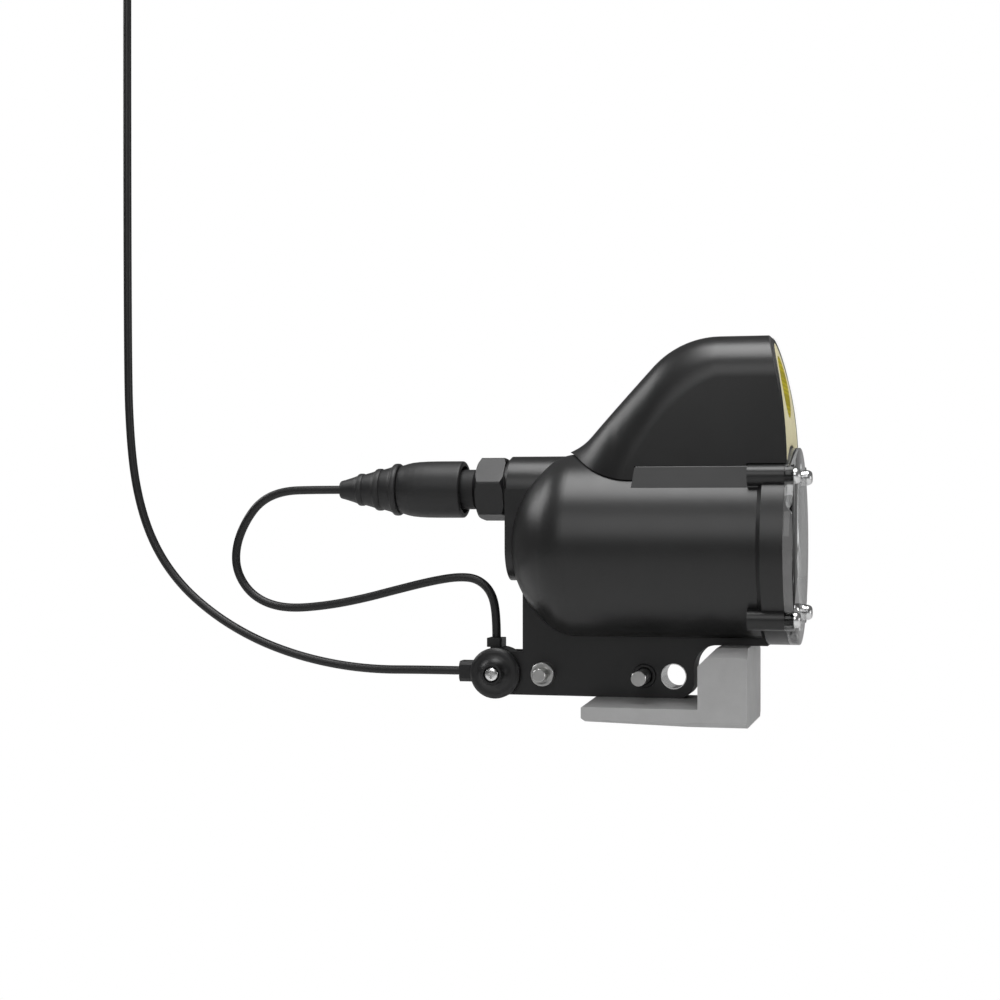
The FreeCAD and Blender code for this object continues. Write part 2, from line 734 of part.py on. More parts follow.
def arch(x, inset, foot):
    """The closed section of the hood at x: straight foot and sides under an elliptic arch."""
    half, top, rise = hood_profile(x, inset)
    spring = max(top - rise, foot + 0.5)
    rise = top - spring
    steps = 16
    curve = Part.BSplineCurve()
    curve.interpolate(
        [
            V(x, half * math.cos(math.pi * step / steps), spring + rise * math.sin(math.pi * step / steps))
            for step in range(steps + 1)
        ]
    )
    right, left = V(x, half, spring), V(x, -half, spring)
    low_right, low_left = V(x, half, foot), V(x, -half, foot)
    return Part.Wire(
        [
            curve.toShape(),
            Part.LineSegment(left, low_left).toShape(),
            Part.LineSegment(low_left, low_right).toShape(),
            Part.LineSegment(low_right, right).toShape(),
        ]
    )


def hood_stations():
    """The places of the hood's sections: two in the straight front, then even steps to its tail."""
    slope_start, _, slope_end, foot_end, _ = hood_line()
    flat_end = -hood_flat.value
    tail = foot_end + (slope_end - foot_end) * 0.29
    steps = 14
    pitch = (tail - flat_end) / steps
    return [6.0] + [flat_end + pitch * step for step in range(-2, steps + 1)]


def hood_block(inset, foot, rear, round_over=False):
    """The hood's outer form, or with an inset its hollow, from its front back to rear."""
    sections = [arch(x, inset, foot) for x in hood_stations() if x >= rear]
    if not round_over:
        return Part.makeLoft(sections, True, True)
    front = Part.makeLoft(sections[:2], True, True)
    return front.fuse(Part.makeLoft(sections[1:], True, False)).removeSplitter()


def front_slab(outer, inner):
    """The space between two curves parallel to the lens, seen from the side, across the hood."""
    centre = V(hood_front.value - lens_curve.value, 0, lens_curve_height.value)
    low, high = saddle_height.value * 0.7, hood_top.value * 1.12

    def point(radius, height):
        rise = height - centre.z
        return V(centre.x + math.sqrt(radius**2 - rise**2), -hood_half_width.value * 1.5, height)

    radii = (lens_curve.value - outer, lens_curve.value - inner)
    middle = (low + high) / 2
    front = Part.Arc(point(radii[0], low), point(radii[0], middle), point(radii[0], high)).toShape()
    back = Part.Arc(point(radii[1], high), point(radii[1], middle), point(radii[1], low)).toShape()
    top = Part.LineSegment(point(radii[0], high), point(radii[1], high)).toShape()
    foot = Part.LineSegment(point(radii[1], low), point(radii[0], low)).toShape()
    return Part.Face(Part.Wire([front, top, back, foot])).extrude(V(0, hood_half_width.value * 3, 0))


def on_lens(name, radius, front, back):
    """A disc parallel to the lens at the light source, between two depths behind the lens's face."""
    sine = (led_height - lens_curve_height) / lens_curve
    cosine = (1 - sine * sine).root()
    reach = lens_curve - back
    x = hood_front - lens_curve + reach * cosine
    z = lens_curve_height + reach * sine
    disc = doc.addObject("Part::Cylinder", name)
    bind(disc, Radius=radius, Height=plain(back) - front)
    tilt = math.degrees(math.asin(sine.value))
    return put(disc, x, 0, z, FreeCAD.Rotation(V(0, 1, 0), 90 - tilt))


def make_lamp():
    """The hood, its lens, reflector, light source, heat sink, driver, grommet and fastenings."""
    seam = hood_seam.value
    wall = hood_wall.value
    floor = saddle_height.value
    lens = lens_thickness.value
    rim = lens + lamp_gasket.value
    flange_gap = 0.3
    reach = hood_half_width.value * 1.5
    skin = housing_skin(body_radius, seam)
    saddle_rear = -saddle_length.value - 0.15
    saddle_side = [
        V(40, -reach, 0),
        V(40, -reach, floor),
        V(saddle_rear, -reach, floor),
        V(saddle_rear - SADDLE_LEAN, -reach, floor - SADDLE_DROP),
        V(saddle_rear - SADDLE_LEAN, -reach, 0),
        V(40, -reach, 0),
    ]
    saddle = Part.Face(Part.makePolygon(saddle_side)).extrude(V(0, 2 * reach, 0))
    lug_clearance = [
        Part.makeCylinder(lug_radius.value + seam, 60, V(-lug_length.value - seam, y.value, z.value), V(1, 0, 0))
        for y, z in screw_places()
        if z.value > 0
    ]
    front_room = Part.makeCylinder(flange_radius.value + flange_gap, 40, V(0, 0, 0), V(1, 0, 0))
    outer = hood_block(0, floor - 14, -1000, True)
    outer = outer.cut([front_slab(-30, rim), skin, flange_skin(flange_gap), front_room, saddle] + lug_clearance)
    hollow = hood_block(wall, floor + wall, -hood_flat.value - hood_shoulder.value * 1.22)
    floor_skin = housing_skin(body_radius, seam + wall)
    floor_lip = flange_skin(flange_gap + hood_lip.value)
    front_lip = Part.makeCylinder(flange_radius.value + flange_gap + hood_lip.value, 40, V(0, 0, 0), V(1, 0, 0))
    hollow = hollow.cut([floor_skin, floor_lip, front_lip])
    shell = outer.cut([hollow])
    holes = [Part.makeCylinder(6, 20, V(-wire_behind.value, 0, body_radius.value - 4))]
    holes += [
        Part.makeCylinder(2 + fit_gap.value, 20, V(x.value, 0, body_radius.value - 4)) for x in HOOD_SCREWS
    ]
    shell = shell.cut(holes)
    node("lamp_hood", feature("hood", shell))

    front_end = -hood_flat.value * 0.9
    low_cut = Part.makeBox(60, 2 * reach, floor + 1, V(-30, -reach, 0))
    lens_room = Part.makeCylinder(flange_radius.value + flange_gap * 2, 40, V(0, 0, 0), V(1, 0, 0))
    below = [flange_skin(flange_gap * 2), lens_room, low_cut]
    pane = hood_block(0.4, floor, front_end).common(front_slab(0, lens)).cut(below)
    node("lamp_lens", feature("lens", pane))
    gasket = hood_block(0.5, floor, front_end).cut([hood_block(wall, floor + wall, front_end)])
    gasket = gasket.common(front_slab(lens, rim)).cut(below)
    node("lamp_seal", feature("gasket", gasket))
    bond = 0.1
    tray_depth = lens + bond
    tray = hood_block(wall + 0.2, floor + wall + 0.2, front_end)
    tray = tray.common(front_slab(tray_depth, tray_depth + 2)).cut([floor_skin, floor_lip, front_lip])
    led_rear = lens_thickness + 4.5
    opening = on_lens("tray_opening", led_radius + 0.3, 0, led_rear + 10)
    node("lamp_reflector", cut("tray_cut", feature("tray", tray), opening))
    led_front = feature("led_front_room", front_slab(-30, tray_depth))
    node("led_emitter", cut("emitter_cut", on_lens("emitter", led_radius, 0, led_rear), led_front))
    plate_rear = led_rear + 2
    base_rear = plate_rear + 3
    fin_rear = base_rear + 19.8
    sink_radius = led_radius + 3
    fin_pitch = 3.5
    node("led_board", on_lens("led_plate", sink_radius, led_rear, plate_rear))
    base = on_lens("sink_base", sink_radius, plate_rear, base_rear)
    fins = [
        on_lens(f"sink_fin_{number}", sink_radius - fin_pitch * number, base_rear, fin_rear)
        for number in range(4)
    ]
    gaps = [
        on_lens(f"sink_gap_{number}", sink_radius - 2 - fin_pitch * number, base_rear, fin_rear + 1)
        for number in range(3)
    ]
    rings = [cut(f"sink_ring_{number}", fin, gap) for number, (fin, gap) in enumerate(zip(fins, gaps))]
    node("lamp_heatsink", fuse("sink", base, *rings, fins[-1]))

    floor_radius = body_radius + hood_seam + hood_wall
    leg_radius, leg_length, leg_side, leg_along = 2, 3.4, 9, 8
    innermost = leg_side - leg_radius
    floor_top = (floor_radius * floor_radius - innermost**2).root()
    middle = -(front_screw_behind + rear_screw_behind) / 2
    under = floor_top + leg_length
    driver = box("driver", (middle - 11, middle + 11), (-12, 12), (under, under + board_thickness + 0.4))
    node("lamp_driver", driver)
    legs = [
        cylinder(f"driver_leg_{number}", "Z", leg_radius, leg_length, middle + along, across, floor_top)
        for number, (along, across) in enumerate(((-leg_along, -leg_side), (leg_along, leg_side)))
    ]
    node("driver_spacers", group("driver_legs", *legs))
    grommet = turned(
        "grommet",
        "Z",
        [(2.5, bore_radius - 1.5), (5.9, bore_radius - 1.5), (5.9, body_radius + 2), (2.5, body_radius + 2)],
        x=-wire_behind,
    )
    node("wire_grommet", grommet)
    screws = []
    nuts = []
    head_low = bore_radius - 3.6
    for number, x in enumerate(HOOD_SCREWS):
        head = cylinder(f"hood_head_{number}", "Z", 3.5, 3, x, 0, head_low)
        shank = cylinder(f"hood_shank_{number}", "Z", 2, floor_radius - head_low + 4, x, 0, head_low)
        screws.append(fuse(f"hood_screw_{number}", head, shank))
        nut = hexagon(f"hood_nut_{number}", "Z", 7, 3.2, x, 0, floor_radius + 0.05)
        nut_bore = cylinder(f"hood_nut_bore_{number}", "Z", 2 + fit_gap, 8, x, 0, body_radius)
        nuts.append(cut(f"hood_nut_cut_{number}", nut, nut_bore))
    node("hood_screws", group("hood_screw_set", *screws))
    node("hood_nuts", group("hood_nut_set", *nuts))


# Rear connector: receptacle, nut, seal, plug, sleeve and ribbed boot
def make_connector():
    """The receptacle in the boss and the plug on the lead."""
    nut_face = -boss_face - 0.8
    nut = hexagon("nut_body", "X", nut_flats, nut_length, nut_face - nut_length, 0, plug_height, -11.5 - 90)
    nut_rear = nut_face - nut_length
    nut_bore = cylinder("nut_bore", "X", thread_radius + fit_gap, nut_length + 2, nut_rear - 1, 0, plug_height)
    corner = nut_flats / math.sqrt(3)
    turned_off = turned(
        "nut_turning",
        "X",
        [
            (nut_face - nut_length, 0),
            (nut_face - nut_length, corner - 2.6),
            (nut_face - nut_length + 1.8, corner - 0.3),
            (nut_face - 1.2, corner - 0.3),
            (nut_face, corner - 1.8),
            (nut_face, 0),
        ],
        z=plug_height,
    )
    node("bulkhead_nut", cut("nut_cut", common("nut_chamfered", nut, turned_off), nut_bore))
    seal = cylinder("seal_disc", "X", 15.5, 0.8, -boss_face - 0.8, 0, plug_height)
    seal_bore = cylinder("seal_bore", "X", thread_radius + fit_gap, 3, -boss_face - 2, 0, plug_height)
    node("bulkhead_seal", cut("seal_cut", seal, seal_bore))
    shank_end = bore_end - 4
    cup_floor = -shank_end - 22
    node(
        "receptacle",
        turned(
            "receptacle_shell",
            "X",
            [
                (nut_face - nut_length - 0.5, 6),
                (nut_face - nut_length - 0.5, thread_radius),
                (-shank_end, thread_radius),
                (-shank_end, 0),
                (cup_floor, 0),
                (cup_floor, 6),
            ],
            z=plug_height,
        ),
    )
    barrel_end = -boss_face - nut_length - 1.3 - 1.2
    plug_nose = cup_floor - 5
    node(
        "plug_body",
        turned(
            "plug_barrel",
            "X",
            [
                (plug_nose, 0),
                (plug_nose, 5.9),
                (barrel_end, 5.9),
                (barrel_end, barrel_radius - 1),
                (barrel_end - 1, barrel_radius),
                (-sleeve_mouth - 25, barrel_radius),
                (-sleeve_mouth - 25, 0),
            ],
            z=plug_height,
        ),
    )
    contacts = []
    for number in range(4):
        angle = math.radians(45 + 90 * number)
        contacts.append(
            cylinder(
                f"contact_{number}",
                "X",
                1,
                5,
                plug_nose,
                round(3.2 * math.cos(angle), 4),
                plug_height + round(3.2 * math.sin(angle), 4),
            )
        )
    node("plug_contacts", group("contact_set", *contacts))
    mouth = -sleeve_mouth
    rear = -sleeve_mouth - sleeve_length
    node(
        "locking_sleeve",
        turned(
            "sleeve",
            "X",
            eased(
                [
                    (mouth, barrel_radius + 2.3),
                    (mouth, sleeve_radius - 0.9),
                    (mouth - 0.6, sleeve_radius),
                    (mouth - 2.4, sleeve_radius),
                    (rear + 9, sleeve_radius),
                    (rear, sleeve_radius - 2.6),
                    (rear, barrel_radius + fit_gap),
                    (mouth - 8, barrel_radius + fit_gap),
                    (mouth - 8, barrel_radius + 2.3),
                ],
                (2, 4),
            ),
            z=plug_height,
        ),
    )
    foot = rear - 0.3
    node(
        "strain_relief_boot",
        turned(
            "boot",
            "X",
            eased(
                [
                    (-sleeve_mouth - 25, 0),
                    (-sleeve_mouth - 25, 8),
                    (foot, 8),
                    (foot, 13.2),
                    (foot - 0.4, 15.2),
                    (foot - 3.6, 15.2),
                    (foot - 4.6, 13.4),
                    (foot - 11, 11.7),
                    (foot - 11.6, 12.3),
                    (foot - 14.4, 12.3),
                    (foot - 15.4, 10.8),
                    (foot - 22.2, 9),
                    (foot - 22.8, 9.5),
                    (foot - 25.4, 9.5),
                    (foot - 26.4, 8.1),
                    (foot - 34.4, 5.7),
                    (foot - 37, 5.1),
                    (foot - 37, 3.6),
                    (foot - 37, 0),
                ],
                (4, 5, 6, 8, 9, 10, 12, 13, 14, 16),
                0.42,
                3,
            ),
            z=plug_height,
        ),
    )


# Keel, pins and weight
def make_keel():
    """The keel under the housing with its fork, pins, nuts, bush and screws."""
    blade = plate(
        "keel_blade",
        "XZ_Plane",
        [
            (-pivot_behind, fork_radius - pin_line),
            (-keel_rear, fork_radius - pin_line),
            (-keel_rear, -20),
            (-flange_length, -20),
            (-flange_length, -rail_depth),
            (-keel_nose + 14, -rail_depth),
            (-keel_nose, -rail_depth),
            (-keel_nose, -keel_bottom),
            (-pivot_behind, -keel_bottom),
        ],
        keel_thickness,
    )
    nose = -keel_nose.value

    def at_nose(middle, way, depth):
        """Whether an edge across the keel lies at its nose, at a given depth."""
        return abs(way.y) > 0.9 and abs(middle.x - nose) < 0.1 and abs(middle.z + depth.value) < 0.1

    rounded("nose_round", blade, 9, lambda middle, way: at_nose(middle, way, keel_bottom))
    rounded("throat_round", blade, 13, lambda middle, way: at_nose(middle, way, rail_depth))
    ears = cylinder("fork_ends", "Y", fork_radius, keel_thickness, -pivot_behind, -keel_thickness / 2, -pin_line)
    solid = fuse("keel_solid", blade, ears)
    skin = feature("keel_skin", housing_skin(body_radius, 0))
    flange = feature("keel_flange_skin", flange_skin(0))
    boss_room = box("boss_room", (-200, -dome_centre - 30), (-30, 30), (-22, 0))
    slot = box(
        "fork_slot",
        (-pivot_behind - 30, core_radius + 0.9 - pivot_behind),
        (-fork_gap / 2, fork_gap / 2),
        (-keel_bottom - 10, fork_radius - pin_line + 1),
    )
    tools = [skin, flange, boss_room, slot]
    half = keel_thickness / 2
    holes = (
        ("pivot", pivot_behind, clamp_bolt + fit_gap),
        ("tail", tail_pin_behind, tail_shank + fit_gap),
        ("nose", nose_pin_behind, nose_shank + fit_gap),
        ("bush", bush_behind, bush_bore + bush_wall),
    )
    for name, behind, radius in holes:
        tools.append(cylinder(f"hole_{name}", "Y", radius, keel_thickness + 2, -behind, -half - 1, -pin_line))
    seat = collar_depth + 1
    tools.append(cylinder("collar_seat", "Y", collar_radius, seat, -nose_pin_behind, -half - 1, -pin_line))
    for number, x in enumerate(KEEL_SCREWS):
        tools.append(cylinder(f"keel_thread_{number}", "Z", 2.5 + fit_gap, 20, x, 0, -body_radius - 12))
    for number, x in enumerate(WEIGHT_SCREWS):
        tools.append(cylinder(f"weight_thread_{number}", "Z", 2.5 + fit_gap, 20, x, 0, -keel_bottom - 10.5))
    node("keel", cut("keel_cut", solid, *tools))

    screws = []
    for number, x in enumerate(KEEL_SCREWS):
        head = cylinder(f"keel_head_{number}", "Z", 4.5, 3, x, 0, -bore_radius + 0.4)
        shank = cylinder(f"keel_shank_{number}", "Z", 2.5, 18, x, 0, -bore_radius - 16)
        screws.append(fuse(f"keel_screw_{number}", head, shank))
    node("keel_screws", group("keel_screw_set", *screws))

    bush = cylinder("bush_tube", "Y", bush_bore + bush_wall, keel_thickness, -bush_behind, -half, -pin_line)
    bush_hole = cylinder("bush_hole", "Y", bush_bore, keel_thickness + 2, -bush_behind, -half - 1, -pin_line)
    node("keel_bush", cut("bush_cut", bush, bush_hole))

    reach = pin_reach
    shank_end = half + nut_thickness + 2
    cup_floor = -half - 1.6
    cup_inner = tail_pin_radius - 1.3
    node(
        "tail_pin",
        turned(
            "tail_rod",
            "Y",
            [
                (0, -tail_reach),
                (tail_nose_radius - 0.3, -tail_reach),
                (tail_nose_radius, 0.3 - tail_reach),
                (tail_nose_radius, cup_floor),
                (cup_inner, cup_floor),
                (cup_inner, -tail_cup_reach),
                (tail_pin_radius - 0.3, -tail_cup_reach),
                (tail_pin_radius, 0.3 - tail_cup_reach),
                (tail_pin_radius, -half),
                (tail_shank, -half),
                (tail_shank, shank_end),
                (0, shank_end),
            ],
            x=-tail_pin_behind,
            z=-pin_line,
        ),
    )
    # The nose pin's shoulder stands on the collar's face
    collar_face = -half - 0.9
    collar_bore = nose_pin_radius - 0.15
    node(
        "nose_pin",
        turned(
            "nose_rod",
            "Y",
            [
                (0, -reach),
                (nose_pin_radius - 0.3, -reach),
                (nose_pin_radius, 0.3 - reach),
                (nose_pin_radius, collar_face),
                (collar_bore - fit_gap, collar_face),
                (collar_bore - fit_gap, collar_depth - half),
                (nose_shank, collar_depth - half),
                (nose_shank, shank_end),
                (0, shank_end),
            ],
            x=-nose_pin_behind,
            z=-pin_line,
        ),
    )
    collar = turned(
        "collar",
        "Y",
        [
            (collar_bore, collar_depth - half),
            (collar_radius - fit_gap, collar_depth - half),
            (collar_radius - fit_gap, collar_face + 0.5),
            (collar_radius - 0.5, collar_face),
            (nose_pin_radius + 0.8, collar_face),
            (collar_bore, collar_face + 0.7),
        ],
        x=-nose_pin_behind,
        z=-pin_line,
    )
    node("pin_collar", collar)
    nuts = []
    for name, behind, shank in (("tail", tail_pin_behind, tail_shank), ("nose", nose_pin_behind, nose_shank)):
        nut = hexagon(f"{name}_nut", "Y", shank * 3.25, nut_thickness, -behind, half, -pin_line)
        depth = nut_thickness + 2
        nut_hole = cylinder(f"{name}_nut_hole", "Y", shank + fit_gap, depth, -behind, half - 1, -pin_line)
        nuts.append(cut(f"{name}_nut_cut", nut, nut_hole))
    node("pin_nuts", group("pin_nut_set", *nuts))


WEIGHT_SCREWS = (8.4 - foot_rear, 21.4 - foot_rear)


def make_weight():
    """The cast weight: a foot under the keel and an upright block before it, with its two screws."""
    half = weight_half_width
    low = -weight_bottom
    upright_rear = weight_front + upright_length
    chamfer = 2.8
    block_side = plate(
        "upright_side",
        "XZ_Plane",
        [
            (-upright_rear, low),
            (-weight_front, low),
            (-weight_front, -rail_depth),
            (-upright_rear + 10, -rail_depth),
            (-upright_rear, -rail_depth - 10),
        ],
        half * 2,
    )
    block_front = plate(
        "upright_front",
        "YZ_Plane",
        [
            (-half, low + chamfer),
            (-half + chamfer, low),
            (half - chamfer, low),
            (half, low + chamfer),
            (half, -rail_depth - 5.2),
            (half - 5.2, -rail_depth),
            (-half + 5.2, -rail_depth),
            (-half, -rail_depth - 5.2),
        ],
        400,
    )
    upright = common("upright", block_side, block_front)
    foot_side = plate(
        "foot_side",
        "XZ_Plane",
        [
            (-foot_rear + 2.4, low + 1.8),
            (-foot_rear + 60, low),
            (-weight_front - 3, low),
            (-weight_front - 3, -keel_bottom),
            (-foot_rear + 4, -keel_bottom),
            (-foot_rear, -keel_bottom - 4),
            (-foot_rear, low + 3.6),
        ],
        half * 2,
    )
    foot_front = plate(
        "foot_front",
        "YZ_Plane",
        [
            (-half, low + chamfer),
            (-half + chamfer, low),
            (half - chamfer, low),
            (half, low + chamfer),
            (half, -keel_bottom - 3.6),
            (keel_thickness / 2 + 1, -keel_bottom),
            (-keel_thickness / 2 - 1, -keel_bottom),
            (-half, -keel_bottom - 3.6),
        ],
        400,
    )
    foot = common("foot", foot_side, foot_front)
    tools = []
    screws = []
    for number, x in enumerate(WEIGHT_SCREWS):
        tools.append(cylinder(f"weight_hole_{number}", "Z", 2.5 + fit_gap, 40, x, 0, -weight_bottom - 5))
        tools.append(cylinder(f"weight_sink_{number}", "Z", 4.9, 10, x, 0, -weight_bottom + 5 - 10))
        head = cylinder(f"weight_head_{number}", "Z", 4.6, 4.4, x, 0, -weight_bottom + 0.6)
        shank = cylinder(f"weight_shank_{number}", "Z", 2.5, 21, x, 0, -weight_bottom + 1)
        screws.append(fuse(f"weight_screw_{number}", head, shank))
    node("weight", cut("weight_cut", fuse("weight_solid", upright, foot), *tools))
    node("weight_screws", group("weight_screw_set", *screws))


# Cable clamp on the fork
def make_clamp():
    """The clamp's discs, core, glands, screw and nut, turning on the fork."""
    half = keel_thickness / 2 + clamp_gap
    outer = half + disc_thickness
    hub_top = outer + hub_height
    bolt_hole = clamp_bolt + fit_gap
    head_seat = hub_top - 2.2
    near = eased(
        [
            (bolt_hole, -half),
            (clamp_radius - 0.6, -half),
            (clamp_radius, -half - 0.8),
            (clamp_radius, 1.6 - outer),
            (clamp_radius - 1.6, -outer),
            (hub_foot, -outer),
            (hub_radius + 0.5, -outer - hub_height * 0.45),
            (hub_radius, -hub_top),
            (screw_head + 0.5, -hub_top),
            (screw_head + 0.4, -head_seat),
            (bolt_hole, -head_seat),
        ],
        (4, 5, 6),
    )
    node("clamp_disc_near", turned("disc_near", "Y", near, x=-pivot_behind, z=-pin_line))
    far = [
        (bolt_hole, half),
        (far_disc_radius, half),
        (far_disc_radius, outer - 1),
        (far_disc_radius - 1, outer),
        (bolt_hole, outer),
    ]
    node("clamp_disc_far", turned("disc_far", "Y", far, x=-pivot_behind, z=-pin_line))
    width = fork_gap - 0.4
    drum = cylinder("core_drum", "Y", core_radius, width, -pivot_behind, -width / 2, -pin_line)
    drum_hole = cylinder("core_hole", "Y", bolt_hole, 40, -pivot_behind, -20, -pin_line)
    stub = 3.6
    upper_foot = core_radius + fit_gap - pin_line
    rear_foot = -pivot_behind - core_radius - fit_gap
    upper_length = -gland_top - upper_foot
    rear_length = rear_foot + gland_left
    stub_top = cylinder("stub_top", "Z", stub, upper_length + 5, -gland_behind, 0, upper_foot - 6)
    stub_left = cylinder("stub_left", "X", stub, rear_length + 5, 1 - gland_left, 0, -pin_line)
    node("clamp_core", cut("core_cut", fuse("core_solid", drum, stub_top, stub_left), drum_hole))
    across, wide, high, nip = gland_depth / 2, gland_width / 2, gland_height / 2, 1.1
    upper_corners = [
        (wide, nip - across),
        (wide, across - nip),
        (wide - nip, across),
        (nip - wide, across),
        (-wide, across - nip),
        (-wide, nip - across),
        (nip - wide, -across),
        (wide - nip, -across),
    ]
    rear_corners = [
        (across - 2, high),
        (2 - across, high),
        (-across, high - 2),
        (-across, 2 - high),
        (2 - across, -high),
        (across - 2, -high),
        (across, 2 - high),
        (across, high - 2),
    ]
    upper_middle = upper_foot + upper_length / 2
    rear_middle = rear_foot - rear_length / 2
    upper_block = plate("gland_upper", "XY_Plane", upper_corners, upper_length, -gland_behind, 0, upper_middle)
    rear_block = plate("gland_rear", "YZ_Plane", rear_corners, rear_length, rear_middle, 0, -pin_line)
    upper_bore = cylinder("gland_bore_upper", "Z", stub + fit_gap, upper_length, -gland_behind, 0, upper_foot - 1)
    rear_bore = cylinder("gland_bore_rear", "X", stub + fit_gap, rear_length, 1 - gland_left, 0, -pin_line)
    upper = cut("gland_upper_cut", upper_block, upper_bore)
    rear = cut("gland_rear_cut", rear_block, rear_bore)
    node("cable_glands", group("gland_set", upper, rear))
    head_top = hub_top + 0.5
    profile = eased(
        [
            (0, -head_seat),
            (screw_head, -head_seat),
            (screw_head, 1.2 - head_top),
            (screw_head * 0.7, -head_top),
            (0, -head_top),
        ],
        (2, 3),
    )
    head = turned("clamp_head", "Y", profile, x=-pivot_behind, z=-pin_line)
    nut_length = 2.4
    shank_length = head_seat + outer + nut_length + 0.6
    shank = cylinder("clamp_shank", "Y", clamp_bolt, shank_length, -pivot_behind, -head_seat, -pin_line)
    recess_span = (-head_top - 1, 1.5 - head_top)
    blades = cross_recess("clamp_recess", "Y", 2.3, 0.55, recess_span, -pivot_behind, 0, -pin_line)
    node("clamp_screw", cut("clamp_screw_cut", fuse("clamp_screw_solid", head, shank), *blades))
    nut = hexagon("clamp_nut_body", "Y", 7, nut_length, -pivot_behind, outer, -pin_line)
    nut_bore = cylinder("clamp_nut_bore", "Y", bolt_hole, nut_length + 2, -pivot_behind, outer - 1, -pin_line)
    node("clamp_nut", cut("clamp_nut_cut", nut, nut_bore))


def make_eye():
    """The eye at the upper end of the main cable, from which the camera hangs."""
    side = -eye_thickness / 2
    rim = cylinder("eye_rim_disc", "Y", eye_bore + eye_rim, eye_thickness, -eye_behind, side, eye_height)
    sleeve = turned(
        "eye_sleeve",
        "Z",
        [
            (0, cable_top),
            (3.6, cable_top),
            (4.6, cable_top + 4),
            (4.6, eye_height - eye_bore - 1.5),
            (0, eye_height - eye_bore - 1.5),
        ],
        x=-eye_behind,
    )
    hole = cylinder("eye_hole", "Y", eye_bore, eye_thickness + 10, -eye_behind, side - 5, eye_height)
    node("suspension_eye", cut("eye_cut", fuse("eye_solid", rim, sleeve), hole))


# Cables: straight runs joined by tangent arcs
def cable(name, route):
    """A round cable along a route in the middle plane."""
    points = [V(x, 0, z) for x, z in route]
    arcs = []
    for before, corner, after in zip(points, points[1:], points[2:]):
        back, on = before - corner, after - corner
        turn = math.pi - back.getAngle(on)
        shorter = min(back.Length, on.Length)
        radius = 0.45 * shorter / math.tan(turn / 2)
        reach = 0.45 * shorter
        bisector = (back.normalize() + on.normalize()).normalize()
        middle = corner + bisector * (radius / math.cos(turn / 2) - radius)
        arcs.append((corner + back * reach, middle, corner + on * reach, radius))
    edges = []
    start = points[0]
    for arc_start, middle, arc_end, radius in arcs:
        edges.append(Part.LineSegment(start, arc_start).toShape())
        edges.append(Part.Arc(arc_start, middle, arc_end).toShape())
        start = arc_end
    edges.append(Part.LineSegment(start, points[-1]).toShape())
    path = Part.Wire(edges)
    first = (points[1] - points[0]).normalize()
    section = Part.Wire([Part.makeCircle(cable_radius.value, points[0], first)])
    tube = path.makePipeShell([section], True, False)
    length = path.Length
    expected = math.pi * cable_radius.value**2 * length
    print(name, "length", round(length, 1), "volume ratio", round(tube.Volume / expected, 4))
    print(name, "radii", [round(arc[3]) for arc in arcs])
    node(name, feature(name + "_tube", tube))


def make_cables():
    """The lead from the plug to the clamp and the main cable from the clamp to the eye."""
    boot_tip = -(sleeve_mouth + sleeve_length).value - 37.3
    gland_x = -gland_behind.value
    lead = [
        (boot_tip, plug_height.value),
        (-280.8, plug_height.value),
        (-299.0, 31.4),
        (-313.0, 25.5),
        (-322.5, 13.5),
        (-328.5, -1.0),
        (-328.6, -15.0),
        (-321.5, -27.5),
        (-310.0, -35.2),
        (-294.5, -38.2),
        (-272.0, -36.2),
        (-250.0, -32.0),
        (-228.0, -26.2),
        (-207.0, -21.0),
        (-191.0, -18.4),
        (-179.6, -19.6),
        (-171.4, -27.4),
        (gland_x, -40.6),
        (gland_x, -gland_top.value),
    ]
    cable("lead_cable", lead)
    top_x = -eye_behind.value
    main = [
        (-gland_left.value, -pin_line.value),
        (-215.0, -pin_line.value),
        (-241.0, -73.2),
        (-267.0, -70.7),
        (-293.0, -65.0),
        (-318.0, -56.0),
        (-342.0, -42.8),
        (-363.5, -25.5),
        (-380.0, -3.5),
        (-390.5, 23.0),
        (-396.3, 56.0),
        (top_x, 112.0),
        (top_x, cable_top.value),
    ]
    cable("main_cable", main)


make_housing()
make_window()
make_camera_module()
make_lamp()
make_connector()
make_keel()
make_weight()
make_clamp()
make_eye()
make_cables()
doc.recompute()

faults = []
for thing in doc.Objects:
    if "Invalid" in thing.State or "Error" in thing.State:
        faults.append(f"{thing.Name}: {thing.State}")
for name, thing in nodes.items():
    if thing.Shape.isNull() or not thing.Shape.isValid() or not thing.Shape.Solids:
        faults.append(f"{name}: bad shape")
if faults:
    raise RuntimeError("; ".join(faults))

os.makedirs("parts", exist_ok=True)
for name, thing in nodes.items():
    thing.Shape.exportStep(f"parts/{name}.step")
    box_of = thing.Shape.BoundBox
    print(f"{name:20s} solids {len(thing.Shape.Solids)} volume {thing.Shape.Volume / 1000:8.2f} cm3", end=" ")
    print(f"x {box_of.XMin:.1f} {box_of.XMax:.1f} y {box_of.YMin:.1f} {box_of.YMax:.1f}", end=" ")
    print(f"z {box_of.ZMin:.1f} {box_of.ZMax:.1f}")
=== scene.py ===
"""Dresses the underwater fishing camera: its finishes, two cables, hood shell and window pane.

Everything is in metres in the row's own frame, whose zero lies in the bore of the suspension eye.
"""

import logging
import math
from dataclasses import dataclass, field
from enum import Enum
from typing import Callable

